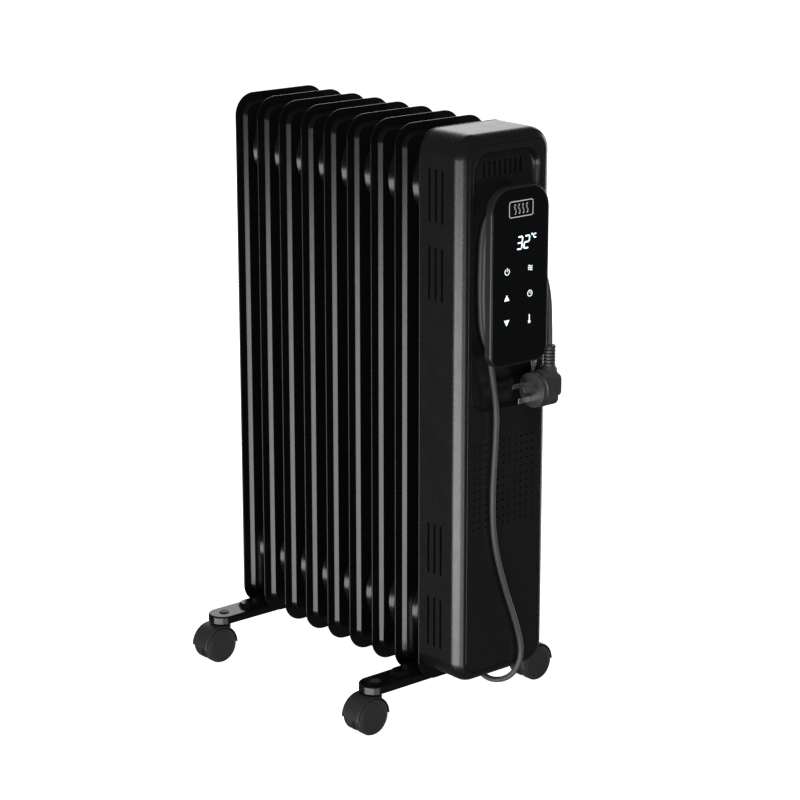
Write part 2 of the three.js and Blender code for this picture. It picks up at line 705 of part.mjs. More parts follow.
// ---------------------------------------------------------------- castors
/** The hood: a fender over both wheels, a web between them and the stem's socket. */
function hoodGeometry(outward, stemSeat, collarTop) {
  const inner = hoodRadius - hoodWall;
  const fender = new THREE.Shape();
  fender.absarc(0, 0, hoodRadius, 0, Math.PI, false);
  fender.absarc(0, 0, inner, Math.PI, 0, true);
  fender.closePath();
  const web = new THREE.Shape();
  web.absarc(0, 0, inner + hoodWall / 2, -0.15, Math.PI + 0.15, false);
  web.absarc(0, 0, axleRadius + 4, Math.PI + 0.3, -0.3, false);
  web.closePath();
  const across = (shape, width) => {
    const options = { depth: width, bevelEnabled: false, curveSegments: 4 };
    return new THREE.ExtrudeGeometry(shape, options).rotateX(Math.PI / 2).translate(0, width / 2, 0);
  };
  const stemX = -outward * trail;
  const socket = solid(post(socketRadius, 6, collarTop).translate(stemX, 0, 0));
  const room = solid(bar(inner, -hoodWidth, hoodWidth, 16));
  let hood = socket.subtract(room).add(solid(across(fender, hoodWidth)));
  hood = hood.add(solid(across(web, webThick)));
  hood = hood.subtract(solid(bar(axleRadius + gap, -webThick, webThick, 12)));
  hood = hood.subtract(solid(post(stemRadius + gap, stemSeat, collarTop + 5).translate(stemX, 0, 0)));
  return drawnFrom(hood);
}

/** A wheel with a blind axle hole; its tread's flats stand at the wheel's radius. */
function wheelGeometry() {
  const tread = wheelRadius / Math.cos(Math.PI / wheelSides);
  const inner = wheelFromMiddle;
  const outer = inner + wheelWidth;
  const hole = axleRadius + gap;
  const profile = [[0, outer - 1.2], [hole, outer - 1.2], [hole, inner], [tread, inner]];
  profile.push([tread, outer], [0, outer]);
  return turned(profile, wheelSides);
}

/** One castor about its stem, with the wheels trailing outward. */
function castor(place, outward) {
  const group = new THREE.Group();
  const stemFoot = hoodRadius - 5.5;
  const bracketFoot = footHeight + bracketTop - bracketThick - axleHeight;
  const collarTop = bracketFoot - gap;
  const stemHigh = footHeight + stemTop - axleHeight;
  const axleEnd = wheelFromMiddle + wheelWidth - 1.2 - gap;
  const stem = post(stemRadius, stemFoot + gap, stemHigh, 16).translate(-outward * trail, 0, 0);
  group.add(piece(`castor_hood_${place}`, hoodGeometry(outward, stemFoot, collarTop), 'castorPlastic'));
  group.add(piece(`castor_stem_${place}`, stem, 'zincSteel'));
  group.add(piece(`castor_axle_${place}`, bar(axleRadius, -axleEnd, axleEnd, 12), 'zincSteel'));
  const frontWheel = piece(`wheel_${place}_front`, wheelGeometry(), 'castorPlastic');
  frontWheel.rotation.z = Math.PI;
  group.add(frontWheel, piece(`wheel_${place}_rear`, wheelGeometry(), 'castorPlastic'));
  group.position.set(outward * (stemSpread + trail), 0, axleHeight - footHeight);
  return group;
}

/** Both brackets with their castors. */
function undercarriage() {
  const group = new THREE.Group();
  for (const [place, y] of [['front', finPitch / 2], ['rear', stackLength - finPitch / 2]]) {
    const foot = new THREE.Group();
    foot.add(footBracket(place), castor(`${place}_left`, -1), castor(`${place}_right`, 1));
    foot.position.y = y;
    group.add(foot);
  }
  return group;
}

// ---------------------------------------------------------------- the whole heater
// The sub-assemblies are drawn about the front fin: y = 0 at its middle, z = 0 at its bottom edge.
const core = new THREE.Group();
core.add(finStack(), heater(), controlHousing(), controlPod(), mainsCord(), plug(), undercarriage());
core.position.set(0, -frontToMiddle, footHeight);

const radiator = new THREE.Group();
radiator.add(core);

export default radiator;
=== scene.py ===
"""Looks for an oil filled radiator heater: fins, control housing, touch pod, mains cord and castors.

Sizes in the classes are in millimetres from the front fin: y = 0 at its middle, z = 0 at its bottom
edge. Work.place() takes a finished shape from there to the row's frame, in metres.
"""

import logging
import math
from dataclasses import dataclass, field
from enum import Enum

import bmesh
import bpy
from mathutils import Matrix, Vector


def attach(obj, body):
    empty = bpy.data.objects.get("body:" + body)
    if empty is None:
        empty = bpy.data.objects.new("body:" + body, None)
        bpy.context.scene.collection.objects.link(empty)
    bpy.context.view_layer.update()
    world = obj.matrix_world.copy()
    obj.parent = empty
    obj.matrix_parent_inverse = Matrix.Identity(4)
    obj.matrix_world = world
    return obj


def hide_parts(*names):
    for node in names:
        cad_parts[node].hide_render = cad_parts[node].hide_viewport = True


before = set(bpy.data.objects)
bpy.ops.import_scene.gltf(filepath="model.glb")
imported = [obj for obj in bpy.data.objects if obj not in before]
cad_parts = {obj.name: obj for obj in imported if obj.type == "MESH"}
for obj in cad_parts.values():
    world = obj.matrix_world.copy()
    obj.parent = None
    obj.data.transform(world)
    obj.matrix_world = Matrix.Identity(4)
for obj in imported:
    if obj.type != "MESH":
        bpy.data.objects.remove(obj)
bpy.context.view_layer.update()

LOG = logging.getLogger("radiator")

MM = 0.001
FRONT_TO_MIDDLE = 115.35
FOOT_HEIGHT = 45.5
QUARTER = math.pi / 2
CASTOR_PLACES = ("front_left", "front_right", "rear_left", "rear_right")

Step = tuple[float, float]
Point = tuple[float, float, float]


# ---------------------------------------------------------------- finishes
class Grain(Enum):
    """How the fine relief of a surface is drawn."""

    ENAMEL = "orange peel"
    MOULDED = "spark eroded mould"
    BRUSHED = "drawn or plated metal"
    WOVEN = "fine rubber skin"


@dataclass(frozen=True)
class Finish:
    """One finish: its colour, gloss and fine relief."""

    name: str
    colour: tuple[float, float, float]
    roughness: float
    grain: Grain = Grain.MOULDED
    metallic: float = 0.0
    spread: float = 0.06
    shade: float = 0.12
    ior: float = 1.5
    scale: float = 1800.0
    relief: float = 0.00003
    coat: float = 0.0


ENAMEL = Finish(
    "gloss_enamel", (0.003, 0.003, 0.0033), 0.2, Grain.ENAMEL, ior=1.46, scale=420, relief=0.000012
)
HOUSING = Finish("housing_plastic", (0.005, 0.005, 0.0053), 0.27, scale=2400, relief=0.00001, ior=1.6)
PANEL = Finish("panel_plastic", (0.0075, 0.0075, 0.008), 0.24, scale=2400, relief=0.000008, ior=1.52)
POD = Finish("pod_plastic", (0.012, 0.012, 0.0125), 0.3, scale=2600, relief=0.00001)
GLASS = Finish(
    "pod_glass", (0.0015, 0.0015, 0.0018), 0.05, Grain.ENAMEL, spread=0.02, scale=90, relief=0.000002
)
CASTOR = Finish("castor_plastic", (0.021, 0.021, 0.022), 0.5, scale=1600, relief=0.00003, spread=0.1)
CORD = Finish("cord_rubber", (0.05, 0.05, 0.052), 0.5, Grain.WOVEN, scale=1500, relief=0.00002)
PLUG = Finish("plug_moulding", (0.035, 0.035, 0.037), 0.42, scale=1700, relief=0.000025)
ZINC = Finish("bright_zinc", (0.55, 0.56, 0.57), 0.3, Grain.BRUSHED, metallic=1.0, scale=900)
# Near black steel: the castor stems' colour, and painted shade on the heat shield, where it stands for the
# shade inside the housing seen through the slots and vents.
DARK_STEEL_AND_SHADE = Finish("dark_steel_and_painted_shade", (0.03, 0.03, 0.032), 0.4, Grain.ENAMEL, scale=800)
NICKEL = Finish("nickel", (0.72, 0.7, 0.66), 0.2, Grain.BRUSHED, metallic=1.0, scale=1200, relief=0.000006)
SHEATH = Finish("tempered_sheath", (0.3, 0.25, 0.2), 0.38, Grain.BRUSHED, metallic=1.0, shade=0.4, scale=300)
BOARD = Finish("solder_mask", (0.02, 0.09, 0.05), 0.35, scale=500, shade=0.35, coat=0.3)
MOULDING = Finish("pale_moulding", (0.62, 0.6, 0.54), 0.5, scale=1500)
PRINT = Finish("panel_print", (0.62, 0.63, 0.64), 0.4, scale=1500, relief=0.000004)


class Materials:
    """Makes each finish's material once, from shared node groups."""

    def __init__(self) -> None:
        """Builds the shared groups."""
        self.made: dict[str, bpy.types.Material] = {}
        self.relief = self.relief_group()
        self.tone = self.tone_group()

    @staticmethod
    def new_group(name: str, inputs: dict[str, float], outputs: dict[str, str]) -> tuple:
        """Starts a shader node group.

        Args:
            name: The group's name.
            inputs: Each number that goes in, with its first value.
            outputs: Each socket that comes out, with its type.

        Returns:
            The group, its input node and its output node.
        """
        group = bpy.data.node_groups.new(name, "ShaderNodeTree")
        group.interface.new_socket("Vector", in_out="INPUT", socket_type="NodeSocketVector")
        for label, value in inputs.items():
            socket = group.interface.new_socket(label, in_out="INPUT", socket_type="NodeSocketFloat")
            socket.default_value = value
        for label, kind in outputs.items():
            group.interface.new_socket(label, in_out="OUTPUT", socket_type=kind)
        return group, group.nodes.new("NodeGroupInput"), group.nodes.new("NodeGroupOutput")

    def relief_group(self) -> bpy.types.NodeTree:
        """A fine surface relief: a soft swell, a sharper grain and their blend as a height."""
        group, put_in, put_out = self.new_group(
            "surface_relief",
            {"Scale": 1000.0, "Stretch": 1.0, "Sharpness": 0.5},
            {"Height": "NodeSocketFloat"},
        )
        nodes, links = group.nodes, group.links
        stretched = nodes.new("ShaderNodeVectorMath")
        stretched.operation = "MULTIPLY"
        combine = nodes.new("ShaderNodeCombineXYZ")
        combine.inputs["X"].default_value = 1.0
        combine.inputs["Y"].default_value = 1.0
        links.new(put_in.outputs["Stretch"], combine.inputs["Z"])
        links.new(put_in.outputs["Vector"], stretched.inputs[0])
        links.new(combine.outputs["Vector"], stretched.inputs[1])
        swell = nodes.new("ShaderNodeTexNoise")
        swell.inputs["Detail"].default_value = 2.0
        cells = nodes.new("ShaderNodeTexVoronoi")
        cells.feature = "SMOOTH_F1"
        for texture in (swell, cells):
            links.new(stretched.outputs["Vector"], texture.inputs["Vector"])
            links.new(put_in.outputs["Scale"], texture.inputs["Scale"])
        blend = nodes.new("ShaderNodeMix")
        links.new(put_in.outputs["Sharpness"], blend.inputs["Factor"])
        links.new(swell.outputs["Fac"], blend.inputs["A"])
        links.new(cells.outputs["Distance"], blend.inputs["B"])
        links.new(blend.outputs["Result"], put_out.inputs["Height"])
        return group

    def tone_group(self) -> bpy.types.NodeTree:
        """Slow unevenness of a surface: a mask for its colour and one for its gloss."""
        group, put_in, put_out = self.new_group(
            "surface_tone",
            {"Scale": 14.0, "Low": 0.3, "High": 0.4},
            {"Mask": "NodeSocketFloat", "Roughness": "NodeSocketFloat"},
        )
        nodes, links = group.nodes, group.links
        broad = nodes.new("ShaderNodeTexNoise")
        broad.inputs["Detail"].default_value = 4.0
        links.new(put_in.outputs["Vector"], broad.inputs["Vector"])
        links.new(put_in.outputs["Scale"], broad.inputs["Scale"])
        smudge = nodes.new("ShaderNodeTexNoise")
        smudge.inputs["Scale"].default_value = 60.0
        smudge.inputs["Detail"].default_value = 5.0
        links.new(put_in.outputs["Vector"], smudge.inputs["Vector"])
        spread = nodes.new("ShaderNodeMapRange")
        links.new(smudge.outputs["Fac"], spread.inputs["Value"])
        links.new(put_in.outputs["Low"], spread.inputs["To Min"])
        links.new(put_in.outputs["High"], spread.inputs["To Max"])
        links.new(broad.outputs["Fac"], put_out.inputs["Mask"])
        links.new(spread.outputs["Result"], put_out.inputs["Roughness"])
        return group

    def of(self, finish: Finish) -> bpy.types.Material:
        """The material of a finish.

        Args:
            finish: The finish that the material shows.

        Returns:
            The finish's one material, made when it is first asked for.
        """
        if finish.name in self.made:
            return self.made[finish.name]
        material = bpy.data.materials.new(finish.name)
        material.use_nodes = True
        nodes, links = material.node_tree.nodes, material.node_tree.links
        shader = nodes["Principled BSDF"]
        shader.inputs["Metallic"].default_value = finish.metallic
        shader.inputs["IOR"].default_value = finish.ior
        shader.inputs["Coat Weight"].default_value = finish.coat
        place = nodes.new("ShaderNodeTexCoord")
        tone = nodes.new("ShaderNodeGroup")
        tone.node_tree = self.tone
        tone.inputs["Low"].default_value = max(0.02, finish.roughness - finish.spread)
        tone.inputs["High"].default_value = finish.roughness + finish.spread
        relief = nodes.new("ShaderNodeGroup")
        relief.node_tree = self.relief
        relief.inputs["Scale"].default_value = finish.scale
        relief.inputs["Stretch"].default_value = 0.12 if finish.grain is Grain.BRUSHED else 1.0
        pebbled = finish.grain in (Grain.MOULDED, Grain.WOVEN)
        relief.inputs["Sharpness"].default_value = 0.6 if pebbled else 0.0
        for group in (tone, relief):
            links.new(place.outputs["Object"], group.inputs["Vector"])
        colour = nodes.new("ShaderNodeMix")
        colour.data_type = "RGBA"
        dark = [channel * (1 - finish.shade) for channel in finish.colour]
        light = [channel * (1 + finish.shade) for channel in finish.colour]
        colour.inputs["A"].default_value = (*dark, 1.0)
        colour.inputs["B"].default_value = (*light, 1.0)
        links.new(tone.outputs["Mask"], colour.inputs["Factor"])
        links.new(colour.outputs["Result"], shader.inputs["Base Color"])
        links.new(tone.outputs["Roughness"], shader.inputs["Roughness"])
        bump = nodes.new("ShaderNodeBump")
        bump.inputs["Distance"].default_value = finish.relief
        bump.inputs["Strength"].default_value = 0.6
        links.new(relief.outputs["Height"], bump.inputs["Height"])
        links.new(bump.outputs["Normal"], shader.inputs["Normal"])
        self.made[finish.name] = material
        return material

    def lit(self, name: str, colour: tuple[float, float, float], strength: float) -> bpy.types.Material:
        """A material that glows, for the display's lit marks.

        Args:
            name: The material's name.
            colour: The glow's colour.
            strength: How bright it is.

        Returns:
            The material, with a slightly uneven glow.
        """
        material = bpy.data.materials.new(name)
        material.use_nodes = True
        nodes, links = material.node_tree.nodes, material.node_tree.links
        shader = nodes["Principled BSDF"]
        shader.inputs["Emission Strength"].default_value = strength
        shader.inputs["Base Color"].default_value = (0.5, 0.5, 0.5, 1.0)
        place = nodes.new("ShaderNodeTexCoord")
        tone = nodes.new("ShaderNodeGroup")
        tone.node_tree = self.tone
        tone.inputs["Scale"].default_value = 250.0
        links.new(place.outputs["Object"], tone.inputs["Vector"])
        glow = nodes.new("ShaderNodeMix")
        glow.data_type = "RGBA"
        glow.inputs["A"].default_value = (*[channel * 0.85 for channel in colour], 1.0)
        glow.inputs["B"].default_value = (*colour, 1.0)
        links.new(tone.outputs["Mask"], glow.inputs["Factor"])
        links.new(glow.outputs["Result"], shader.inputs["Emission Color"])
        return material


# ---------------------------------------------------------------- shaping
def rounding(wide: float, high: float, segments: int = 5) -> list[Step]:
    """Steps that round an outer edge from an upright wall to a flat.

    Args:
        wide: How far the edge goes inward.
        high: How far it rises.
        segments: How many steps it takes.

    Returns:
        The inset and rise of each step.
    """
    angles = [QUARTER * i / segments for i in range(segments + 1)]
    across = [wide * (1 - math.cos(angle)) for angle in angles]
    up = [high * math.sin(angle) for angle in angles]
    return [(across[i + 1] - across[i], up[i + 1] - up[i]) for i in range(segments)]


class Work:
    """A solid being shaped, in millimetres, with the operators that shape it."""

    def __init__(self) -> None:
        """Starts with nothing."""
        self.bm = bmesh.new()

    def face(
        self, width: float, height: float, corner: float, lower: float | None = None, segments: int = 8
    ) -> bmesh.types.BMFace:
        """Draws a rectangle with round corners about the origin, facing +Z.

        Args:
            width: Its size along X.
            height: Its size along Y.
            corner: The radius of its corners.
            lower: The radius of the two lower corners, where it differs.
            segments: Straight lengths in each corner.

        Returns:
            The new face.
        """
        before = set(self.bm.faces)
        verts = bmesh.ops.create_grid(self.bm, x_segments=1, y_segments=1, size=0.5)["verts"]
        bmesh.ops.scale(self.bm, vec=(width, height, 1.0), verts=verts)
        upper = [v for v in verts if v.co.y > 0]
        under = [v for v in verts if v.co.y < 0]
        for group, radius in ((upper, corner), (under, corner if lower is None else lower)):
            bmesh.ops.bevel(
                self.bm, geom=group, offset=radius, offset_type="OFFSET", segments=segments,
                profile=0.5, affect="VERTICES", clamp_overlap=False, material=-1,
            )
        self.bm.normal_update()
        return next(f for f in self.bm.faces if f not in before)

    def raise_in_steps(self, face: bmesh.types.BMFace, steps: list[Step]) -> None:
        """Draws a face inward and upward, step by step."""
        for inset, rise in steps:
            bmesh.ops.inset_region(
                self.bm, faces=[face], use_boundary=True, use_even_offset=True, thickness=inset, depth=rise
            )

    def prism(self, face: bmesh.types.BMFace, shift: Point) -> None:
        """Makes a free face into a closed solid, by pushing a copy of it along a shift."""
        made = bmesh.ops.extrude_face_region(self.bm, geom=[face])["geom"]
        verts = [item for item in made if isinstance(item, bmesh.types.BMVert)]
        bmesh.ops.translate(self.bm, vec=shift, verts=verts)
        bmesh.ops.recalc_face_normals(self.bm, faces=self.bm.faces[:])

    def form(
        self, width: float, height: float, corner: float, steps: list[Step],
        lower: float | None = None, segments: int = 8,
    ) -> "Work":
        """Makes a closed solid from a flat underside at z = 0 that is raised in steps.

        Returns:
            This solid.
        """
        face = self.face(width, height, corner, lower, segments)
        self.raise_in_steps(face, steps)
        rims = [edge for edge in self.bm.edges if edge.is_boundary]
        bmesh.ops.contextual_create(self.bm, geom=rims)
        bmesh.ops.recalc_face_normals(self.bm, faces=self.bm.faces[:])
        return self

    def turn(self, profile: list[Step], sides: int = 48) -> "Work":
        """Turns a profile of (radius, along) points about the Y axis.

        Args:
            profile: Its points; the first and last stand on the axis, or the profile is closed.
            sides: Straight lengths round it.

        Returns:
            This solid.
        """
        part = Work()
        verts = [part.bm.verts.new((radius, along, 0.0)) for radius, along in profile]
        edges = [part.bm.edges.new(pair) for pair in zip(verts, verts[1:])]
        if profile[0][0] > 0:
            edges.append(part.bm.edges.new((verts[-1], verts[0])))
        bmesh.ops.spin(
            part.bm, geom=verts + edges, cent=(0, 0, 0), axis=(0, 1, 0), dvec=(0, 0, 0),
            angle=2 * math.pi, steps=sides, use_merge=True, use_normal_flip=False, use_duplicate=False,
        )
        bmesh.ops.remove_doubles(part.bm, verts=part.bm.verts[:], dist=1e-4)
        bmesh.ops.recalc_face_normals(part.bm, faces=part.bm.faces[:])
        return self.add(part)

    def box(self, size: Point, centre: Point) -> "Work":
        """Adds a plain block, for cutting with.

        Returns:
            This solid.
        """
        verts = bmesh.ops.create_cube(self.bm, size=1.0)["verts"]
        bmesh.ops.scale(self.bm, vec=size, verts=verts)
        bmesh.ops.translate(self.bm, vec=centre, verts=verts)
        return self

    def add(self, other: "Work") -> "Work":
        """Takes in another solid's faces as they are, and empties it.

        Returns:
            This solid.
        """
        mesh = other.mesh("taken_in")
        self.bm.from_mesh(mesh)
        bpy.data.meshes.remove(mesh)
        return self

    def moved(self, shift: Point = (0, 0, 0), turns: tuple[tuple[float, str], ...] = ()) -> "Work":
        """Turns the solid about the axes, one after another, and then shifts it.

        Returns:
            This solid.
        """
        matrix = Matrix.Translation(shift)
        spin = Matrix.Identity(4)
        for angle, axis in turns:
            spin = Matrix.Rotation(angle, 4, axis) @ spin
        self.bm.transform(matrix @ spin)
        return self

    def facing_front(self, y: float, middle: float) -> "Work":
        """Stands a solid that rises along +Z so that it rises towards -Y from a plane.

        Returns:
            This solid.
        """
        return self.moved((0, y, middle), ((QUARTER, "X"),))

    def copied(self) -> "Work":
        """A second solid of the same shape."""
        return Work().add_mesh(self.mesh("copied", free=False))

    def add_mesh(self, mesh: bpy.types.Mesh) -> "Work":
        """Takes in a mesh and removes it.

        Returns:
            This solid.
        """
        self.bm.from_mesh(mesh)
        bpy.data.meshes.remove(mesh)
        return self

    def mirrored(self, axis: str) -> "Work":
        """Adds the mirror image across the origin's plane and joins the seam.

        Returns:
            This solid.
        """
        geom = self.bm.verts[:] + self.bm.edges[:] + self.bm.faces[:]
        bmesh.ops.mirror(self.bm, geom=geom, axis=axis, matrix=Matrix.Identity(4), merge_dist=1e-3)
        bmesh.ops.recalc_face_normals(self.bm, faces=self.bm.faces[:])
        return self

    def mesh(self, name: str, free: bool = True) -> bpy.types.Mesh:
        """The solid as a mesh.

        Args:
            name: The mesh's name.
            free: Whether the working copy is let go.

        Returns:
            The new mesh.
        """
        mesh = bpy.data.meshes.new(name)
        self.bm.to_mesh(mesh)
        if free:
            self.bm.free()
        return mesh

    def combined(self, other: "Work", operation: str) -> "Work":
        """Joins another solid to this one, or cuts it away.

        Args:
            other: The other solid, which is used up.
            operation: UNION or DIFFERENCE.

        Returns:
            This solid.
        """
        objects = []
        for name, work in (("base", self), ("tool", other)):
            thing = bpy.data.objects.new(name, work.mesh(name))
            bpy.context.scene.collection.objects.link(thing)
            objects.append(thing)
        base, tool = objects
        modifier = base.modifiers.new("combine", "BOOLEAN")
        modifier.operation = operation
        modifier.solver = "EXACT"
        modifier.object = tool
        evaluated = base.evaluated_get(bpy.context.evaluated_depsgraph_get())
        result = bpy.data.meshes.new_from_object(evaluated)
        for thing in objects:
            data = thing.data
            bpy.data.objects.remove(thing)
            bpy.data.meshes.remove(data)
        self.bm = bmesh.new()
        return self.add_mesh(result)

    def united(self, other: "Work") -> "Work":
        """Joins another solid to this one."""
        return self.combined(other, "UNION")

    def cut(self, other: "Work") -> "Work":
        """Cuts another solid away from this one."""
        return self.combined(other, "DIFFERENCE")


class Shop:
    """Finishes pieces: takes them to the row's frame, dresses them and tells the frame about them."""

    def __init__(self) -> None:
        """Opens with no materials made."""
        self.materials = Materials()

    def place(
        self, work: Work, name: str, finish: Finish | bpy.types.Material, slot: str,
        body: str = "frame", nodes: tuple[str, ...] = (), sharp: float = 32.0,
    ) -> bpy.types.Object:
        """Makes a shaped solid into a finished piece.

        Args:
            work: The solid, which is used up.
            name: The piece's name.
            finish: Its finish, or a material of its own.
            slot: Not used.
            body: The body it moves with.
            nodes: The CAD nodes it stands for.
            sharp: The angle in degrees over which an edge stays crisp.

        Returns:
            The piece's object.
        """
        bmesh.ops.remove_doubles(work.bm, verts=work.bm.verts[:], dist=2e-4)
        work.bm.transform(Matrix.Scale(MM, 4) @ Matrix.Translation((0, -FRONT_TO_MIDDLE, FOOT_HEIGHT)))
        mesh = work.mesh(name)
        mesh.shade_smooth()
        mesh.set_sharp_from_angle(angle=math.radians(sharp))
        mesh.materials.append(self.materials.of(finish) if isinstance(finish, Finish) else finish)
        piece = bpy.data.objects.new(name, mesh)
        bpy.context.scene.collection.objects.link(piece)
        even = piece.modifiers.new("even_normals", "WEIGHTED_NORMAL")
        even.keep_sharp = True
        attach(piece, body)
        if nodes:
            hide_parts(*nodes)
        LOG.info("%s: %d faces", name, len(mesh.polygons))
        return piece

    def dress(self, node: str, finish: Finish) -> None:
        """Gives a CAD node that stays shown its finish."""
        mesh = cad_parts[node].data
        mesh.materials.clear()
        mesh.materials.append(self.materials.of(finish))


# ---------------------------------------------------------------- fins
@dataclass
class FinStack:
    """Nine pressed steel fins, joined by two rows of necks."""

    shop: Shop
    count: int = 9
    pitch: float = 38.0
    width: float = 122.5
    height: float = 586.0
    corner: float = 24.0
    rim: float = 8.8
    necks: tuple[float, float] = (65.0, 525.0)
    seam: list[Step] = field(default_factory=lambda: [(0.0, 0.45), (0.12, 0.22), (0.3, 0.13)])
    slope: list[Step] = field(
        default_factory=lambda: [(0.5, 0.12), (0.4, 0.4), (1.5, 3.56), (0.5, 0.62), (0.5, 0.3)]
    )

    def plate(self) -> Work:
        """One fin without its necks: two drawn halves that meet at the seam."""
        work = Work()
        face = work.face(self.width, self.height, self.corner, segments=12)
        work.raise_in_steps(face, [*self.seam, (self.rim - 0.42, 0.0), *self.slope])
        return work.mirrored("Z").moved((0, 0, self.height / 2), ((QUARTER, "X"),))

    def neck(self, height: float, direction: int, blind: bool) -> Work:
        """A neck, or the closed boss of an end fin.

        Args:
            height: Its middle, above the fin's bottom edge.
            direction: 1 towards the rear, -1 towards the front.
            blind: Whether it is an end fin's closed boss.

        Returns:
            The neck's solid.
        """
        foot = [(0, 0), (43.4, 0), (43.4, 5.72), (42.6, 5.95), (42.0, 6.5)]
        tip = [(41.3, 8.3), (40.3, 9.9), (38.7, 11.4), (36.3, 12.8), (33.2, 14.1), (30.2, 15.2)]
        tip += [(28.2, 16.2), (26.4, 17.6), (25.0, 18.85), (0, 18.85)]
        cap = [(41.5, 7.6), (40.6, 8.5), (39.4, 9.0), (38.0, 9.2), (12.0, 9.2), (9.0, 8.4), (0, 8.4)]
        work = Work().turn([*foot, *(cap if blind else tip)], sides=64)
        turns = ((math.pi, "X"),) if direction < 0 else ()
        return work.moved((0, 0, height), turns)

    def fin(self, blind_rear: bool, blind_front: bool) -> Work:
        """A whole fin about its own middle."""
        work = self.plate()
        for height in self.necks:
            work.united(self.neck(height, 1, blind_rear))
            work.united(self.neck(height, -1, blind_front))
        return work

    def build(self) -> None:
        """Makes all the fins, the rearmost first."""
        middle = self.fin(False, False)
        for number in range(1, self.count + 1):
            ends = (number == 1, number == self.count)
            work = self.fin(*ends) if any(ends) else middle.copied()
            work.moved((0, (self.count - number) * self.pitch, 0))
            name = f"fin_{number}"
            self.shop.place(work, f"{name}_enamelled", ENAMEL, "enamel", nodes=(name,), sharp=40)
        middle.bm.free()


# ---------------------------------------------------------------- control housing
@dataclass
class Housing:
    """The one piece cover and the front panel with its recess."""

    shop: Shop
    width: float = 122.0
    bottom: float = 13.8
    top: float = 585.75
    corner: float = 23.75
    back: float = -1.1
    front: float = -62.0
    wall: float = 2.2
    round_wide: float = 10.3
    round_deep: float = 12.6
    lip: float = 0.5
    slot_rows: tuple[float, ...] = (523.0, 444.0, 155.0, 75.0)
    slot_columns: tuple[float, ...] = (-34.3, -24.7, -15.1)
    recess: tuple[float, float, float] = (88.0, 263.7, 20.0)
    recess_top: float = 567.0
    recess_floor: float = -55.0
    vents: int = 8
    vent_pitch: float = 6.95
    holes: tuple[int, int] = (11, 12)
    hole_pitch: float = 8.02

    @property
    def middle(self) -> float:
        """Half way up the housing."""
        return (self.top + self.bottom) / 2

    @property
    def height(self) -> float:
        """The housing's height."""
        return self.top - self.bottom

    def shell_form(self, wall: float) -> Work:
        """The cover's outer form, or its inside when it is drawn in by a wall."""
        start = self.back + (1.0 if wall else 0.0)
        straight = start - (self.front + wall) - self.round_deep
        steps = [(0.0, straight), *rounding(self.round_wide, self.round_deep, 9)]
        work = Work().form(
            self.width - 2 * wall, self.height - 2 * wall, self.corner - wall, steps, segments=12
        )
        return work.facing_front(start, self.middle)

    def opening(self, inset: float) -> tuple[float, float, float]:
        """The width, height and corner of the opening that holds the front panel."""
        off = self.round_wide + self.lip + inset
        return self.width - 2 * off, self.height - 2 * off, self.corner - self.round_wide - inset

    def build_shell(self) -> None:
        """Makes the cover with its cooling slots."""
        shell = self.shell_form(0.0).cut(self.shell_form(self.wall))
        width, height, corner = self.opening(0.0)
        mouth = Work().form(width, height, corner, [(0.0, 20.0)], segments=8)
        shell.cut(mouth.facing_front(self.front + 12, self.middle))
        slots = Work()
        for z in self.slot_rows:
            for y in self.slot_columns:
                slot = Work().form(3.0, 54.0, 1.1, [(0.0, self.width + 20)], segments=3)
                slots.add(slot.moved((-self.width / 2 - 10, y, z), ((QUARTER, "X"), (QUARTER, "Z"))))
        shell.cut(slots)
        shell.cut(Work().box((106.4, 12.5, 48.0), (0, 0, 8.5)))
        self.shop.place(
            shell, "housing_cover", HOUSING, "housing_plastic", nodes=("housing_shell",), sharp=30
        )

    def recess_form(self, wall: float) -> Work:
        """The recess as a solid, or the tray round it when it is grown by a wall."""
        width, height, corner = self.recess
        deep = self.recess_floor - self.front + wall
        grow = 2 * wall
        start = self.front + 1.0
        if wall:
            steps = [(0.0, deep - 1.0)]
        else:
            steps = [(0.0, 1.0), (0.4, 0.15), (0.35, 0.35), (1.7, deep - 4.0), *rounding(3.5, 3.5, 6)]
            grow = 2.0
            start = self.front - 1.0
        work = Work().form(width + grow, height + grow, corner + grow / 2, steps, segments=10)
        return work.moved((0, start, self.recess_top - height / 2), ((-QUARTER, "X"), (math.pi, "Y")))

    def build_panel(self) -> None:
        """Makes the front panel with its recess, vents and perforations."""
        width, height, corner = self.opening(0.3)
        edge = [(0.0, self.wall - 0.5), *rounding(0.5, 0.5, 3)]
        panel = Work().form(width, height, corner, edge, segments=8)
        panel.facing_front(self.front + self.wall, self.middle)
        panel.united(self.recess_form(self.wall)).cut(self.recess_form(0.0))
        openings = Work()
        for i in range(self.vents):
            vent = Work().form(3.0, 16.0, 1.0, [(0.0, 14.0)], segments=3)
            x = (i - (self.vents - 1) / 2) * self.vent_pitch
            openings.add(vent.facing_front(self.recess_floor + 7, self.recess_top - 18).moved((x, 0, 0)))
        columns, rows = self.holes
        for column in range(columns):
            for row in range(rows):
                hole = Work().turn([(0, -5.0), (1.2, -5.0), (1.2, 5.0), (0, 5.0)], sides=12)
                x = -0.4 + (column - (columns - 1) / 2) * self.hole_pitch
                openings.add(hole.moved((x, self.front, 180.6 + row * self.hole_pitch)))
        panel.cut(openings)
        self.shop.place(
            panel, "front_panel_moulding", PANEL, "panel_plastic", nodes=("front_panel",), sharp=30
        )

    def build(self) -> None:
        """Makes the cover and the panel, and dresses what is inside."""
        self.build_shell()
        self.build_panel()
        # Painted shade: the heat shield is dressed near black to stand for the shade inside the housing, seen
        # through the slots and vents.
        self.shop.dress("heat_shield", DARK_STEEL_AND_SHADE)
        self.shop.dress("power_board", BOARD)
        for node in ("thermal_cutout", "terminal_block", "tip_over_switch"):
            self.shop.dress(node, MOULDING)
        self.shop.dress("heating_element", SHEATH)
        self.shop.dress("element_flange", ZINC)


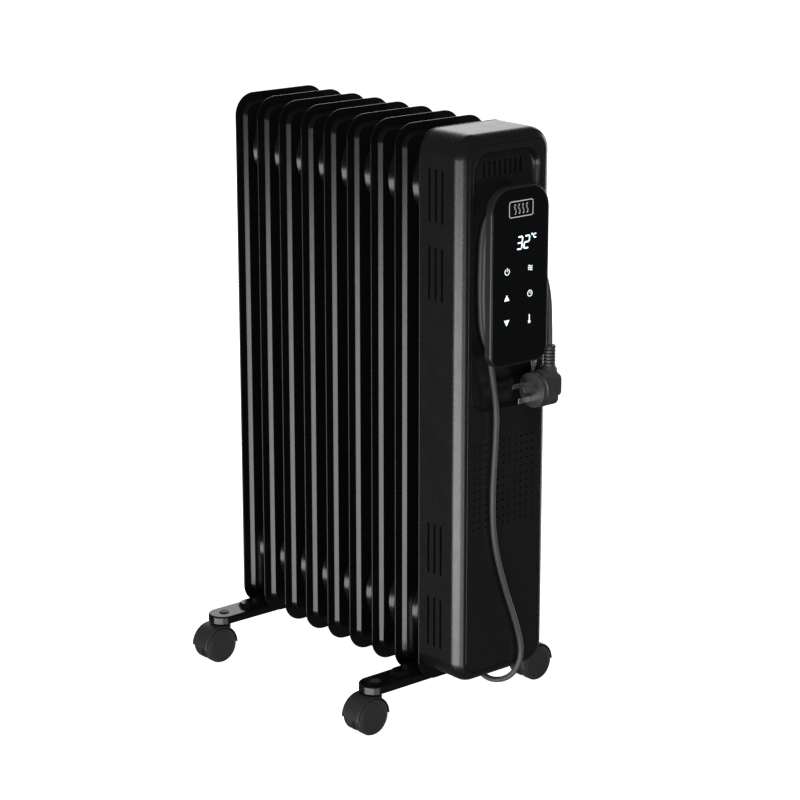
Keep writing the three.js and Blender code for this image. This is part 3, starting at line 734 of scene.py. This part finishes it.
# ---------------------------------------------------------------- control pod
class Marks(Work):
    """Flat printed or lit marks that stand a hair proud of the pod's glass."""

    proud: float = 0.12

    def bar(self, start: Step, end: Step, width: float) -> "Marks":
        """Adds a straight stroke between two points, in x and z."""
        across, up = end[0] - start[0], end[1] - start[1]
        part = Work()
        length = math.hypot(across, up) + width * 0.5
        face = part.face(length, width, width * 0.3, segments=2)
        part.prism(face, (0, 0, self.proud))
        middle = ((start[0] + end[0]) / 2, 0.0, (start[1] + end[1]) / 2)
        self.add(part.moved(middle, ((math.atan2(up, across), "Z"), (QUARTER, "X"))))
        return self

    def arc(
        self, centre: Step, radius: float, width: float, start: float = 0.0, sweep: float = 360.0
    ) -> "Marks":
        """Adds a round stroke, from an angle in degrees and through a sweep."""
        part = Work()
        half = width / 2
        inside, outside, back = radius - half, radius + half, -self.proud
        corners = [(inside, 0), (outside, 0), (outside, back), (inside, back)]
        verts = [part.bm.verts.new((x, y, 0.0)) for x, y in corners]
        face = part.bm.faces.new(verts)
        whole = sweep >= 360.0
        bmesh.ops.spin(
            part.bm, geom=verts + face.edges[:] + [face], cent=(0, 0, 0), axis=(0, -1, 0), dvec=(0, 0, 0),
            angle=math.radians(sweep), steps=max(6, round(sweep / 15)), use_merge=whole,
            use_normal_flip=False, use_duplicate=False,
        )
        bmesh.ops.remove_doubles(part.bm, verts=part.bm.verts[:], dist=1e-4)
        if whole:
            inner = [
                f for f in part.bm.faces
                if abs(f.normal.z) > 0.99 and abs(f.calc_center_median().z) < 1e-4
            ]
            bmesh.ops.delete(part.bm, geom=inner, context="FACES_ONLY")
        bmesh.ops.recalc_face_normals(part.bm, faces=part.bm.faces[:])
        self.add(part.moved((centre[0], 0, centre[1]), ((-math.radians(start), "Y"),)))
        return self

    def triangle(self, centre: Step, size: float, up: bool) -> "Marks":
        """Adds a solid triangle that points up or down."""
        part = Work()
        made = bmesh.ops.create_circle(part.bm, cap_ends=True, radius=size, segments=3)
        face = made["verts"][0].link_faces[0]
        part.prism(face, (0, 0, self.proud))
        part.moved(turns=((0.0 if up else math.pi, "Z"),))
        self.add(part.moved((centre[0], 0, centre[1]), ((QUARTER, "X"),)))
        return self

    def wave(self, centre: Step, width: float, rise: float, stroke: float, lean: bool = False) -> "Marks":
        """Adds one wavy stroke, level or upright."""
        steps = 10
        points = []
        for i in range(steps + 1):
            along = (i / steps - 0.5) * width
            off = rise * math.sin(i / steps * 2 * math.pi)
            across, up = (off, along) if lean else (along, off)
            points.append((centre[0] + across, centre[1] + up))
        for start, end in zip(points, points[1:]):
            self.bar(start, end, stroke)
        return self


@dataclass
class Pod:
    """The touch pod that stands in front of the wound cord."""

    shop: Shop
    width: float = 78.0
    height: float = 181.3
    top_corner: float = 25.0
    foot_corner: float = 14.0
    middle: float = 443.65
    back: float = -74.2
    face: float = -82.5
    edge: float = 1.9
    lean: float = 0.13

    def outline(self, inset: float, steps: list[Step]) -> Work:
        """A closed form of the pod's outline, drawn in by an inset and raised in steps."""
        return Work().form(
            self.width - 2 * inset, self.height - 2 * inset, self.top_corner - inset, steps,
            lower=self.foot_corner - inset, segments=12,
        )

    def build_shell(self) -> None:
        """Makes the shell with its rounded edges and the ledge that holds the glass."""
        deep = self.back - self.face
        rise = [(0.0, 0.0)]
        rise = [(0.0, deep - 1.6), *rounding(1.5, 1.6, 5), (self.edge - 1.5, 0.0)]
        shell = self.outline(0.0, rise).facing_front(self.back, self.middle)
        ledge = self.outline(self.edge, [(0.0, 4.0)]).facing_front(self.face + 2.0, self.middle)
        shell.cut(ledge)
        back_edge = self.outline(self.edge + 1.6, [(0.0, 5.2)])
        shell.cut(back_edge.facing_front(self.back - 1.5, self.middle))
        self.shop.place(shell, "pod_case", POD, "panel_plastic", nodes=("pod_shell",), sharp=30)

    def build_glass(self) -> None:
        """Makes the touch panel, with a fine rounded edge."""
        steps = [(0.0, 1.25), *rounding(0.5, 0.5, 4)]
        glass = self.outline(self.edge + 0.18, steps).facing_front(self.face + 1.78, self.middle)
        self.shop.place(glass, "pod_glass", GLASS, "gloss_panel", nodes=("touch_panel",), sharp=30)

    def digit(self, marks: Marks, name: str, corner: Step, size: Step, stroke: float) -> None:
        """Adds one seven segment digit, leaning to the right.

        Args:
            marks: What the strokes are added to.
            name: Which of the segments a to g are lit.
            corner: The digit's lower left corner.
            size: Its width and height.
            stroke: The width of a segment.
        """
        wide, high = size
        gap = stroke * 0.55
        left, right, low, mid, top = 0.0, wide, 0.0, high / 2, high
        ends = {
            "a": ((left, top), (right, top)),
            "b": ((right, mid), (right, top)),
            "c": ((right, low), (right, mid)),
            "d": ((left, low), (right, low)),
            "e": ((left, low), (left, mid)),
            "f": ((left, mid), (left, top)),
            "g": ((left, mid), (right, mid)),
        }
        for segment in name:
            (x0, z0), (x1, z1) = ends[segment]
            length = math.hypot(x1 - x0, z1 - z0)
            trim_x, trim_z = (x1 - x0) / length * gap, (z1 - z0) / length * gap
            points = ((x0 + trim_x, z0 + trim_z), (x1 - trim_x, z1 - trim_z))
            placed = [(corner[0] + x + z * self.lean, corner[1] + z) for x, z in points]
            marks.bar(placed[0], placed[1], stroke)

    def build_display(self) -> None:
        """Makes the lit temperature and the lit touch marks."""
        lit = self.shop.materials.lit("display_glow", (0.72, 0.97, 1.0), 1.9)
        figures = Marks()
        self.digit(figures, "abgcd", (-5.0, 471.2), (6.4, 12.2), 1.45)
        self.digit(figures, "abged", (4.4, 471.2), (6.4, 12.2), 1.45)
        figures.arc((15.6, 484.2), 0.85, 0.55)
        figures.arc((19.6, 482.3), 2.0, 0.9, start=50, sweep=260)
        self.set_on_glass(figures, "pod_display_figures", lit)
        touch = self.shop.materials.lit("touch_glow", (0.85, 0.98, 1.0), 1.1)
        keys = Marks()
        keys.arc((-17.6, 450.1), 3.0, 0.85, start=125, sweep=290)
        keys.bar((-17.6, 450.6), (-17.6, 453.9), 0.85)
        for lift in (-1.9, 0.0, 1.9):
            keys.wave((13.7, 450.2 + lift), 5.6, 0.62, 0.75)
        keys.triangle((-17.7, 422.7), 4.1, True)
        keys.triangle((-17.6, 398.9), 4.1, False)
        keys.arc((13.6, 424.1), 3.0, 0.8)
        keys.bar((13.6, 424.1), (13.6, 426.0), 0.6)
        keys.bar((13.6, 424.1), (15.2, 424.1), 0.6)
        keys.bar((13.3, 396.6), (13.3, 402.3), 1.35)
        keys.arc((13.3, 395.1), 0.85, 1.6)
        self.set_on_glass(keys, "pod_touch_marks", touch)

    def build_badge(self) -> None:
        """Makes a plain badge of three heat waves in a rounded frame."""
        print_finish = self.shop.materials.of(PRINT)
        frame_form = Work().form(32.6, 16.6, 2.6, [(0.0, Marks.proud)], segments=5)
        frame_form.cut(Work().form(30.8, 14.8, 1.8, [(0.0, 2.0)], segments=5).moved((0, 0, -1.0)))
        badge = Marks()
        badge.add(frame_form.moved((0.35, 0, 511.8), ((QUARTER, "X"),)))
        for shift in (-8.0, -2.7, 2.7, 8.0):
            badge.wave((0.35 + shift, 511.8), 9.4, 0.95, 1.35, lean=True)
        self.set_on_glass(badge, "pod_badge", print_finish)

    def set_on_glass(self, marks: Marks, name: str, material: bpy.types.Material) -> None:
        """Sets marks on the glass and finishes them."""
        marks.moved((0, self.face + 0.03, 0))
        self.shop.place(marks, name, material, "gloss_panel")

    def build(self) -> None:
        """Makes the pod and dresses the spool and board behind it."""
        self.build_shell()
        self.build_glass()
        self.build_display()
        self.build_badge()
        self.shop.dress("cord_spool", PANEL)
        self.shop.dress("display_board", BOARD)


# ---------------------------------------------------------------- mains cord and plug
@dataclass
class MainsCord:
    """The cord: from its gland under the housing, round the spool and down to its plug."""

    shop: Shop
    radius: float = 3.0
    half_wide: float = 31.5
    half_high: float = 78.0
    middle: float = 436.0
    first_angle: float = 194.0
    sweep: float = 868.0
    first_y: float = -71.05
    turn_step: float = 5.78
    last_y: float = -58.1
    lower_route: list[Point] = field(
        default_factory=lambda: [
            (0.3, -31.8, 4.5), (1.2, -37.9, 2.2), (3.5, -44.0, 1.0), (6.8, -49.8, 1.4), (10.6, -55.1, 3.3),
            (14.5, -59.7, 7.1), (18.0, -63.3, 12.9), (20.8, -65.9, 20.7), (22.4, -67.3, 31.0),
            (21.2, -67.4, 46.0), (16.6, -67.2, 63.0), (10.8, -67.0, 80.0), (4.9, -67.0, 95.0),
            (-0.9, -67.0, 111.0), (-6.9, -67.0, 129.0), (-12.5, -67.0, 148.0), (-16.6, -67.0, 168.0),
            (-18.9, -67.0, 190.0), (-19.4, -67.0, 212.0), (-18.6, -67.0, 234.0), (-17.2, -67.0, 256.0),
            (-16.0, -67.0, 278.0), (-16.0, -67.2, 298.0), (-18.3, -67.9, 318.0), (-22.6, -69.2, 337.0),
            (-26.6, -70.3, 354.0), (-28.8, -70.8, 370.0),
        ]
    )
    plug_route: list[Point] = field(
        default_factory=lambda: [
            (31.2, -59.0, 488.5), (36.6, -60.0, 480.0), (39.8, -62.8, 465.0), (41.8, -66.0, 453.0),
            (44.6, -69.0, 440.0), (47.4, -71.0, 427.0), (49.2, -73.0, 410.0), (48.6, -75.0, 390.0),
            (47.8, -76.5, 376.0), (47.5, -77.0, 364.4),
        ]
    )

    def winding(self) -> list[Point]:
        """The turns on the spool, from the left hand side round to the upper right."""
        steps = round(self.sweep / 14)
        points = []
        for i in range(steps + 1):
            done = self.sweep * i / steps
            angle = math.radians(self.first_angle - done)
            up = math.copysign(math.sqrt(abs(math.sin(angle))), math.sin(angle))
            y = min(self.last_y, self.first_y + self.turn_step * done / 360)
            points.append((self.half_wide * math.cos(angle), y, self.middle + self.half_high * up))
        return points

    def route(self) -> list[Vector]:
        """Every point of the cord's middle line, in the row's frame in metres."""
        points = [*self.lower_route, *self.winding(), *self.plug_route]
        return [Vector((x, y - FRONT_TO_MIDDLE, z + FOOT_HEIGHT)) * MM for x, y, z in points]

    def build(self, with_pieces: list[bpy.types.Object]) -> None:
        """Makes the cord.

        Args:
            with_pieces: Not used.
        """
        points = self.route()
        curve = bpy.data.curves.new("mains_cord", "CURVE")
        curve.dimensions = "3D"
        curve.bevel_depth = self.radius * MM
        curve.bevel_resolution = 5
        curve.resolution_u = 5
        curve.use_fill_caps = True
        spline = curve.splines.new("BEZIER")
        spline.bezier_points.add(len(points) - 1)
        for knot, point in zip(spline.bezier_points, points):
            knot.co = point
            knot.handle_left_type = "AUTO"
            knot.handle_right_type = "AUTO"
        curve.materials.append(self.shop.materials.of(CORD))
        cord = bpy.data.objects.new("mains_cord", curve)
        bpy.context.scene.collection.objects.link(cord)
        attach(cord, "frame")
        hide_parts("cord_lower_run", "cord_winding", "cord_plug_run")


@dataclass
class Plug:
    """The moulded plug with its three flat pins, hanging from the cord with the pins to -X."""

    shop: Shop
    origin: Point = (22.7, -77.0, 320.6)
    disc: float = 18.4
    disc_thick: float = 9.0
    block: tuple[float, float, float] = (22.0, 20.0, 37.0)
    relief_x: float = 24.8
    relief_top: float = 43.5
    pins: tuple[tuple[str, float, float, float], ...] = (
        ("line", -7.9, 5.0, -30.0), ("neutral", 7.9, 5.0, 30.0), ("earth", 0.0, -8.5, 0.0),
    )

    def build(self) -> list[bpy.types.Object]:
        """Makes the plug.

        Returns:
            Its pieces.
        """
        rim = self.disc
        disc = Work().turn(
            [
                (0, 0), (rim - 1.0, 0), (rim - 0.3, 0.3), (rim, 1.0),
                (rim, 5.4), (rim - 0.8, 7.4), (rim - 3.0, 9.0), (0, 9.4),
            ],
            sides=64,
        ).moved(turns=((-QUARTER, "Z"),))
        deep, thick, high = self.block
        body = Work().form(thick, high, 7.0, [(0.0, deep - 2.0), *rounding(2.0, 2.0, 5)], segments=8)
        along_x = ((QUARTER, "Z"), (QUARTER, "Y"))
        disc.united(body.moved((self.disc_thick - 1.0, 0, 0), along_x))
        grip = Work().form(22.0, 24.0, 6.0, [(0.0, 2.5), *rounding(1.5, 1.5, 4)], segments=6)
        disc.united(grip.moved((self.disc_thick + deep - 2.0, 0, 2.0), along_x))
        relief = Work().turn(self.relief_profile(), sides=32).moved((self.relief_x, 0, 0), ((QUARTER, "X"),))
        disc.united(relief)
        disc.moved(self.origin)
        made = [self.shop.place(disc, "plug_moulding", PLUG, "plug_moulding", nodes=("plug_body",), sharp=35)]
        for name, y, z, slant in self.pins:
            blade = Work().form(6.3, 1.6, 0.4, [(0.0, 16.2), (0.15, 0.9), (0.25, 0.6)], segments=3)
            blade.moved((-0.3, 0, 0), ((-QUARTER, "Y"), (math.radians(slant), "X")))
            x0, y0, z0 = self.origin
            blade.moved((x0, y0 + y, z0 + z))
            node = f"plug_pin_{name}"
            made.append(self.shop.place(blade, f"{node}_plated", NICKEL, "nickel", nodes=(node,), sharp=35))
        return made

    def relief_profile(self) -> list[Step]:
        """The ribbed strain relief, as (radius, height) from inside the plug up to the cord."""
        profile = [(0.0, 12.0), (8.4, 12.0), (8.2, 18.6), (7.2, 20.4), (6.3, 22.0)]
        rib = 22.6
        while rib < self.relief_top - 2.4:
            profile += [(6.3, rib), (6.3, rib + 1.8), (5.9, rib + 2.1)]
            profile += [(4.6, rib + 2.2), (4.6, rib + 3.1), (5.9, rib + 3.2)]
            rib += 3.5
        return [*profile, (6.3, self.relief_top - 0.7), (5.7, self.relief_top), (0.0, self.relief_top)]


@dataclass
class Gland:
    """The cord's outlet under the housing: a boss and a leaning ribbed strain relief."""

    shop: Shop
    set_back: float = -16.0
    forward: float = 3.6
    reach: float = 21.0
    lean: float = 0.358 * math.pi
    base: float = 13.8

    def build(self) -> None:
        """Makes the gland."""
        boss = Work().form(24.0, 18.0, 4.0, [(0.0, 5.0), (0.3, 0.9), (0.7, 0.3)], segments=6)
        boss.moved((0, self.set_back, -0.3), ((math.pi, "X"),))
        profile = [(0.0, 0.0), (5.6, 0.0)]
        rib = 7.0
        while rib < self.reach - 3.0:
            wide = 5.6 - 1.4 * rib / self.reach
            profile += [(wide, rib), (wide - 0.1, rib + 1.6)]
            profile += [(wide - 0.8, rib + 1.8), (wide - 0.8, rib + 2.6)]
            rib += 2.8
        profile += [(4.3, self.reach - 1.0), (4.0, self.reach), (0.0, self.reach)]
        relief = Work().turn(profile, sides=32)
        relief.moved((0, self.set_back + self.forward, 0), ((-QUARTER - self.lean, "X"),))
        relief.cut(Work().box((40, 60, 30), (0, self.set_back, 14.9)))
        relief.cut(Work().box((40, 30, 60), (0, self.set_back + 24.0, 0)))
        boss.united(relief)
        boss.moved((0, 0, self.base))
        self.shop.place(boss, "cord_outlet", CORD, "cord_jacket", nodes=("cord_gland",), sharp=35)


# ---------------------------------------------------------------- feet
@dataclass
class FootBracket:
    """A pressed channel with a raised middle, held under a neck by a U-bolt and wing nuts."""

    shop: Shop
    length: float = 244.0
    width: float = 32.0
    top: float = 7.4
    deep: float = 8.5
    thick: float = 1.6
    plateau: tuple[float, float, float] = (160.0, 18.0, 4.5)
    bolt_spread: float = 31.25
    bolt_radius: float = 2.5
    neck: float = 65.0
    stem_spread: float = 104.0

    def form(self, inset: float) -> Work:
        """The bracket's outer form, or its hollow when it is drawn in by the sheet."""
        base = -1.0 if inset else 0.0
        length, width = self.length - 2 * inset, self.width - 2 * inset
        soft = 1.9 - inset
        steps = [(0.0, self.deep - base - soft - inset), *rounding(soft, soft, 4)]
        work = Work().form(length, width, width / 2 - 0.2, steps, segments=14).moved((0, 0, base))
        long, wide, high = self.plateau
        rise = [(0.0, 1.0), (0.5, 0.15), (0.4, 0.35), (1.6, high - 1.0), (0.4, 0.35), (0.5, 0.15)]
        grown = 4.0 - 2 * inset
        raised = Work().form(long + grown, wide + grown, (wide + grown) / 2 - 0.2, rise, segments=12)
        return work.united(raised.moved((0, 0, self.deep - 1.0 - inset)))

    def bracket(self) -> Work:
        """The pressed bracket with its holes, resting on z = 0."""
        work = self.form(0.0).cut(self.form(self.thick))
        holes = Work()
        for side in (-1, 1):
            for spread, radius in ((self.stem_spread, 4.7), (self.bolt_spread, 2.8)):
                hole = Work().turn([(0, -30), (radius, -30), (radius, 30), (0, 30)], sides=24)
                holes.add(hole.moved((side * spread, 0, 0), ((QUARTER, "X"),)))
        return work.cut(holes)

    def u_bolt(self) -> Work:
        """The U-bolt, from below the bracket up and over the neck."""
        work = Work()
        made = bmesh.ops.create_circle(work.bm, cap_ends=True, radius=self.bolt_radius, segments=16)
        face = made["verts"][0].link_faces[0]
        low = self.top + self.plateau[2] - 12.0
        bmesh.ops.translate(work.bm, vec=(-self.bolt_spread, 0, low), verts=made["verts"])
        for leg in (self.neck - low, None, low - self.neck):
            if leg is None:
                made = bmesh.ops.spin(
                    work.bm, geom=[face], cent=(0, 0, self.neck), axis=(0, 1, 0), dvec=(0, 0, 0),
                    angle=math.pi, steps=28, use_merge=False, use_normal_flip=False, use_duplicate=False,
                )["geom_last"]
            else:
                made = bmesh.ops.extrude_face_region(work.bm, geom=[face])["geom"]
                verts = [item for item in made if isinstance(item, bmesh.types.BMVert)]
                bmesh.ops.translate(work.bm, vec=(0, 0, leg), verts=verts)
            face = next(item for item in made if isinstance(item, bmesh.types.BMFace))
        bmesh.ops.recalc_face_normals(work.bm, faces=work.bm.faces[:])
        return work

    def wing_nut(self) -> Work:
        """A wing nut, seated under the plateau's sheet."""
        seat = self.top + self.plateau[2] - self.thick - 0.3
        foot = seat - 5.0
        profile = [(2.8, foot), (4.4, foot), (5.0, seat - 4.2), (5.0, seat), (2.8, seat)]
        body = Work().turn(profile, sides=24)
        body.moved(turns=((QUARTER, "X"),))
        for side in (-1, 1):
            wing = Work().form(6.4, 7.4, 2.6, [(0.0, 1.4), (0.3, 0.3)], segments=6)
            body.add(wing.moved((side * 6.8, 0.85, seat - 4.6), ((QUARTER, "X"),)))
        return body

    def build(self, place: str, y: float) -> None:
        """Makes one bracket with its bolt and nuts.

        Args:
            place: front or rear.
            y: Where it stands along the heater.
        """
        bracket = self.bracket().moved((0, y, self.top - self.deep))
        self.shop.place(
            bracket, f"{place}_foot", ENAMEL, "enamel", nodes=(f"{place}_foot_bracket",), sharp=35
        )
        bolt = self.u_bolt().moved((0, y, 0))
        self.shop.place(bolt, f"{place}_bolt", ZINC, "zinc_steel", nodes=(f"{place}_u_bolt",), sharp=40)
        for side, sign in (("left", -1), ("right", 1)):
            nut = self.wing_nut().moved((sign * self.bolt_spread, y, 0))
            node = f"{place}_wing_nut_{side}"
            self.shop.place(nut, f"{place}_nut_{side}", ZINC, "zinc_steel", nodes=(node,), sharp=35)


@dataclass
class Castor:
    """A twin wheel castor: hood, stem, axle and two wheels."""

    shop: Shop
    wheel: float = 19.6
    wheel_inner: float = 3.7
    wheel_width: float = 10.0
    hood: float = 22.2
    hood_wall: float = 1.5
    hood_width: float = 26.6
    web: float = 6.6
    trail: float = 13.45
    socket: float = 7.0
    collar_top: float = 31.4
    stem_spread: float = 104.0

    def hood_work(self, outward: int) -> Work:
        """The hood about its axle, with the stem's socket on the inner side.

        Args:
            outward: 1 where the wheels trail to +X, -1 to -X.

        Returns:
            The hood's solid.
        """
        half = self.hood_width / 2
        inner, outer = self.hood - self.hood_wall, self.hood
        soft = 0.9
        profile = [(inner, -half), (outer - soft, -half), (outer, soft - half)]
        profile += [(outer, half - soft), (outer - soft, half), (inner, half)]
        fender = Work().turn(profile, sides=72)
        fender.cut(Work().box((60, 60, 60), (0, 0, -30)))
        rim = self.hood - 0.7
        side = self.web / 2
        web = Work().turn([(0, -side), (rim, -side), (rim, side), (0, side)], sides=72)
        web.cut(Work().box((60, 60, 60), (0, 0, -36)))
        x = -outward * self.trail
        top = self.collar_top
        socket = Work().turn(
            [
                (0, 4.0), (self.socket, 4.0), (self.socket, top - 2.2),
                (self.socket - 0.5, top - 0.6), (self.socket - 1.4, top), (0, top),
            ],
            sides=40,
        ).moved((x, 0, 0), ((QUARTER, "X"),))
        room = Work().turn([(0, -40), (inner, -40), (inner, 40), (0, 40)], sides=72)
        socket.cut(room)
        body = fender.united(web).united(socket)
        axle = Work().turn([(0, -40), (3.3, -40), (3.3, 40), (0, 40)], sides=24)
        stem = Work().turn([(0, 16.7), (4.7, 16.7), (4.7, 60), (0, 60)], sides=32)
        return body.cut(axle).cut(stem.moved((x, 0, 0), ((QUARTER, "X"),)))

    def wheel_work(self) -> Work:
        """A wheel on the +Y side: a soft edged tread, a shallow dish and a hub cap."""
        inner, outer = self.wheel_inner, self.wheel_inner + self.wheel_width
        rim = self.wheel
        profile = [(3.3, inner), (rim - 0.9, inner), (rim - 0.25, inner + 0.3), (rim, inner + 1.0)]
        profile += [(rim, outer - 1.6), (rim - 0.35, outer - 0.7), (rim - 1.2, outer - 0.25)]
        profile += [(rim - 2.4, outer - 0.15), (rim - 3.0, outer - 0.5), (rim - 3.6, outer - 0.5)]
        profile += [(rim - 4.2, outer - 0.1), (9.0, outer)]
        profile += [(0, outer), (0, outer - 1.2), (3.3, outer - 1.2)]
        return Work().turn(profile, sides=96)

    def stem_head(self) -> Work:
        """The stem with the rivet head that shows on top of the bracket."""
        seat = 33.4
        profile = [(0, 17.0), (4.4, 17.0), (4.4, seat), (5.6, seat), (5.6, seat + 0.5), (5.0, seat + 1.0)]
        profile += [(3.0, seat + 1.3), (2.6, seat + 1.0), (0, seat + 1.0)]
        return Work().turn(profile, sides=32)

    def build(self, place: str, y: float) -> None:
        """Makes one castor.

        Args:
            place: Which corner it stands at.
            y: Where its bracket stands along the heater.
        """
        outward = -1 if place.endswith("left") else 1
        middle = (outward * (self.stem_spread + self.trail), y, self.wheel - FOOT_HEIGHT)
        body = f"castor_{place}"
        hood = self.hood_work(outward).moved(middle)
        node = f"castor_hood_{place}"
        self.shop.place(hood, f"{node}_moulded", CASTOR, "castor_plastic", body, (node,), sharp=32)
        stem = self.stem_head().moved((-outward * self.trail, 0, 0), ((QUARTER, "X"),)).moved(middle)
        node = f"castor_stem_{place}"
        self.shop.place(stem, f"{node}_turned", DARK_STEEL_AND_SHADE, "zinc_steel", body, (node,), sharp=40)
        self.shop.dress(f"castor_axle_{place}", ZINC)
        for side, turns in (("rear", ()), ("front", ((math.pi, "Z"),))):
            node = f"wheel_{place}_{side}"
            wheel = self.wheel_work().moved(middle, turns)
            self.shop.place(wheel, f"{node}_moulded", CASTOR, "castor_plastic", node, (node,), sharp=28)


# ---------------------------------------------------------------- studio
@dataclass
class Studio:
    """The camera, a pale floor and soft light."""

    camera_at: Point = (-1.62357, -1.92762, 1.03306)
    camera_to: Point = (-0.06795, -0.09358, 0.35109)
    lens: float = 110.05

    def build_camera(self) -> None:
        """Sets up the camera."""
        data = bpy.data.cameras.new("camera")
        data.lens = self.lens
        data.sensor_width = 36.0
        data.clip_end = 100.0
        camera = bpy.data.objects.new("camera", data)
        aim = Vector(self.camera_to) - Vector(self.camera_at)
        camera.rotation_euler = aim.to_track_quat("-Z", "Y").to_euler()
        camera.location = self.camera_at
        bpy.context.scene.collection.objects.link(camera)
        bpy.context.scene.camera = camera

    def card(
        self, name: str, at: Point, to: Point, size: Step, power: float, mirrored: bool = True
    ) -> None:
        """Hangs one soft light card, aimed at a point.

        Args:
            name: The light's name.
            at: Where it hangs.
            to: What it is aimed at.
            size: Its width and height.
            power: Its power in watts.
            mirrored: Whether gloss shows it.
        """
        data = bpy.data.lights.new(name, "AREA")
        data.shape = "RECTANGLE"
        data.size, data.size_y = size
        data.energy = power
        light = bpy.data.objects.new(name, data)
        light.location = at
        light.rotation_euler = (Vector(to) - Vector(at)).to_track_quat("-Z", "Y").to_euler()
        light.visible_camera = False
        light.visible_glossy = mirrored
        bpy.context.scene.collection.objects.link(light)

    def build_world(self) -> None:
        """White behind the object, and a dim even light round it."""
        world = bpy.data.worlds.new("studio")
        bpy.context.scene.world = world
        world.use_nodes = True
        nodes, links = world.node_tree.nodes, world.node_tree.links
        dim = nodes["Background"]
        dim.inputs["Color"].default_value = (0.9, 0.95, 1.0, 1.0)
        dim.inputs["Strength"].default_value = 0.07
        white = nodes.new("ShaderNodeBackground")
        white.inputs["Color"].default_value = (1.0, 1.0, 1.0, 1.0)
        path = nodes.new("ShaderNodeLightPath")
        choose = nodes.new("ShaderNodeMixShader")
        links.new(path.outputs["Is Camera Ray"], choose.inputs["Fac"])
        links.new(dim.outputs["Background"], choose.inputs[1])
        links.new(white.outputs["Background"], choose.inputs[2])
        links.new(choose.outputs["Shader"], nodes["World Output"].inputs["Surface"])

    def build_floor(self) -> None:
        """A plain pale floor."""
        work = Work()
        work.face(30.0, 30.0, 0.5, segments=4)
        floor = bpy.data.objects.new("floor", work.mesh("floor"))
        material = bpy.data.materials.new("pale_floor")
        material.use_nodes = True
        shader = material.node_tree.nodes["Principled BSDF"]
        shader.inputs["Base Color"].default_value = (0.9, 0.9, 0.9, 1.0)
        shader.inputs["Roughness"].default_value = 0.9
        shader.inputs["Emission Color"].default_value = (1.0, 1.0, 1.0, 1.0)
        shader.inputs["Emission Strength"].default_value = 1.0
        floor.data.materials.append(material)
        floor.visible_glossy = False
        floor.visible_diffuse = False
        floor.visible_shadow = False
        bpy.context.scene.collection.objects.link(floor)

    def build(self) -> None:
        """Sets up the floor, the world and the lights."""
        self.build_world()
        self.build_floor()
        self.card("left_card", (-2.88, -0.83, -0.75), (0.0, 0.0, 0.3), (4.6, 1.3), 112.0)
        self.card("front_card", (-0.75, -2.9, -0.8), (0.0, 0.0, 0.3), (1.7, 1.2), 15.0)
        self.card("back_card", (2.2, 2.7, 1.5), (0.0, 0.0, 0.5), (3.6, 2.2), 38.0)
        self.card("right_card", (3.2, -0.2, 0.2), (0.0, 0.0, 0.3), (1.6, 2.2), 30.0)
        self.card("top_card", (-1.2, -1.6, 3.2), (0.0, 0.0, 0.3), (2.4, 2.4), 110.0, mirrored=False)
        bpy.context.scene.view_settings.view_transform = "Standard"


def main() -> None:
    """Builds the heater's looks and the studio, and reports each piece."""
    logging.basicConfig(level=logging.INFO, format="%(message)s")
    studio = Studio()
    studio.build_camera()
    shop = Shop()
    plug_pieces = Plug(shop).build()
    MainsCord(shop).build(plug_pieces)
    Gland(shop).build()
    FinStack(shop).build()
    Housing(shop).build()
    Pod(shop).build()
    places = {"front": 19.0, "rear": 285.0}
    for place, y in places.items():
        FootBracket(shop).build(place, y)
    for place in CASTOR_PLACES:
        Castor(shop).build(place, places[place.split("_")[0]])
    studio.build()


if __name__ == "__main__":
    main()
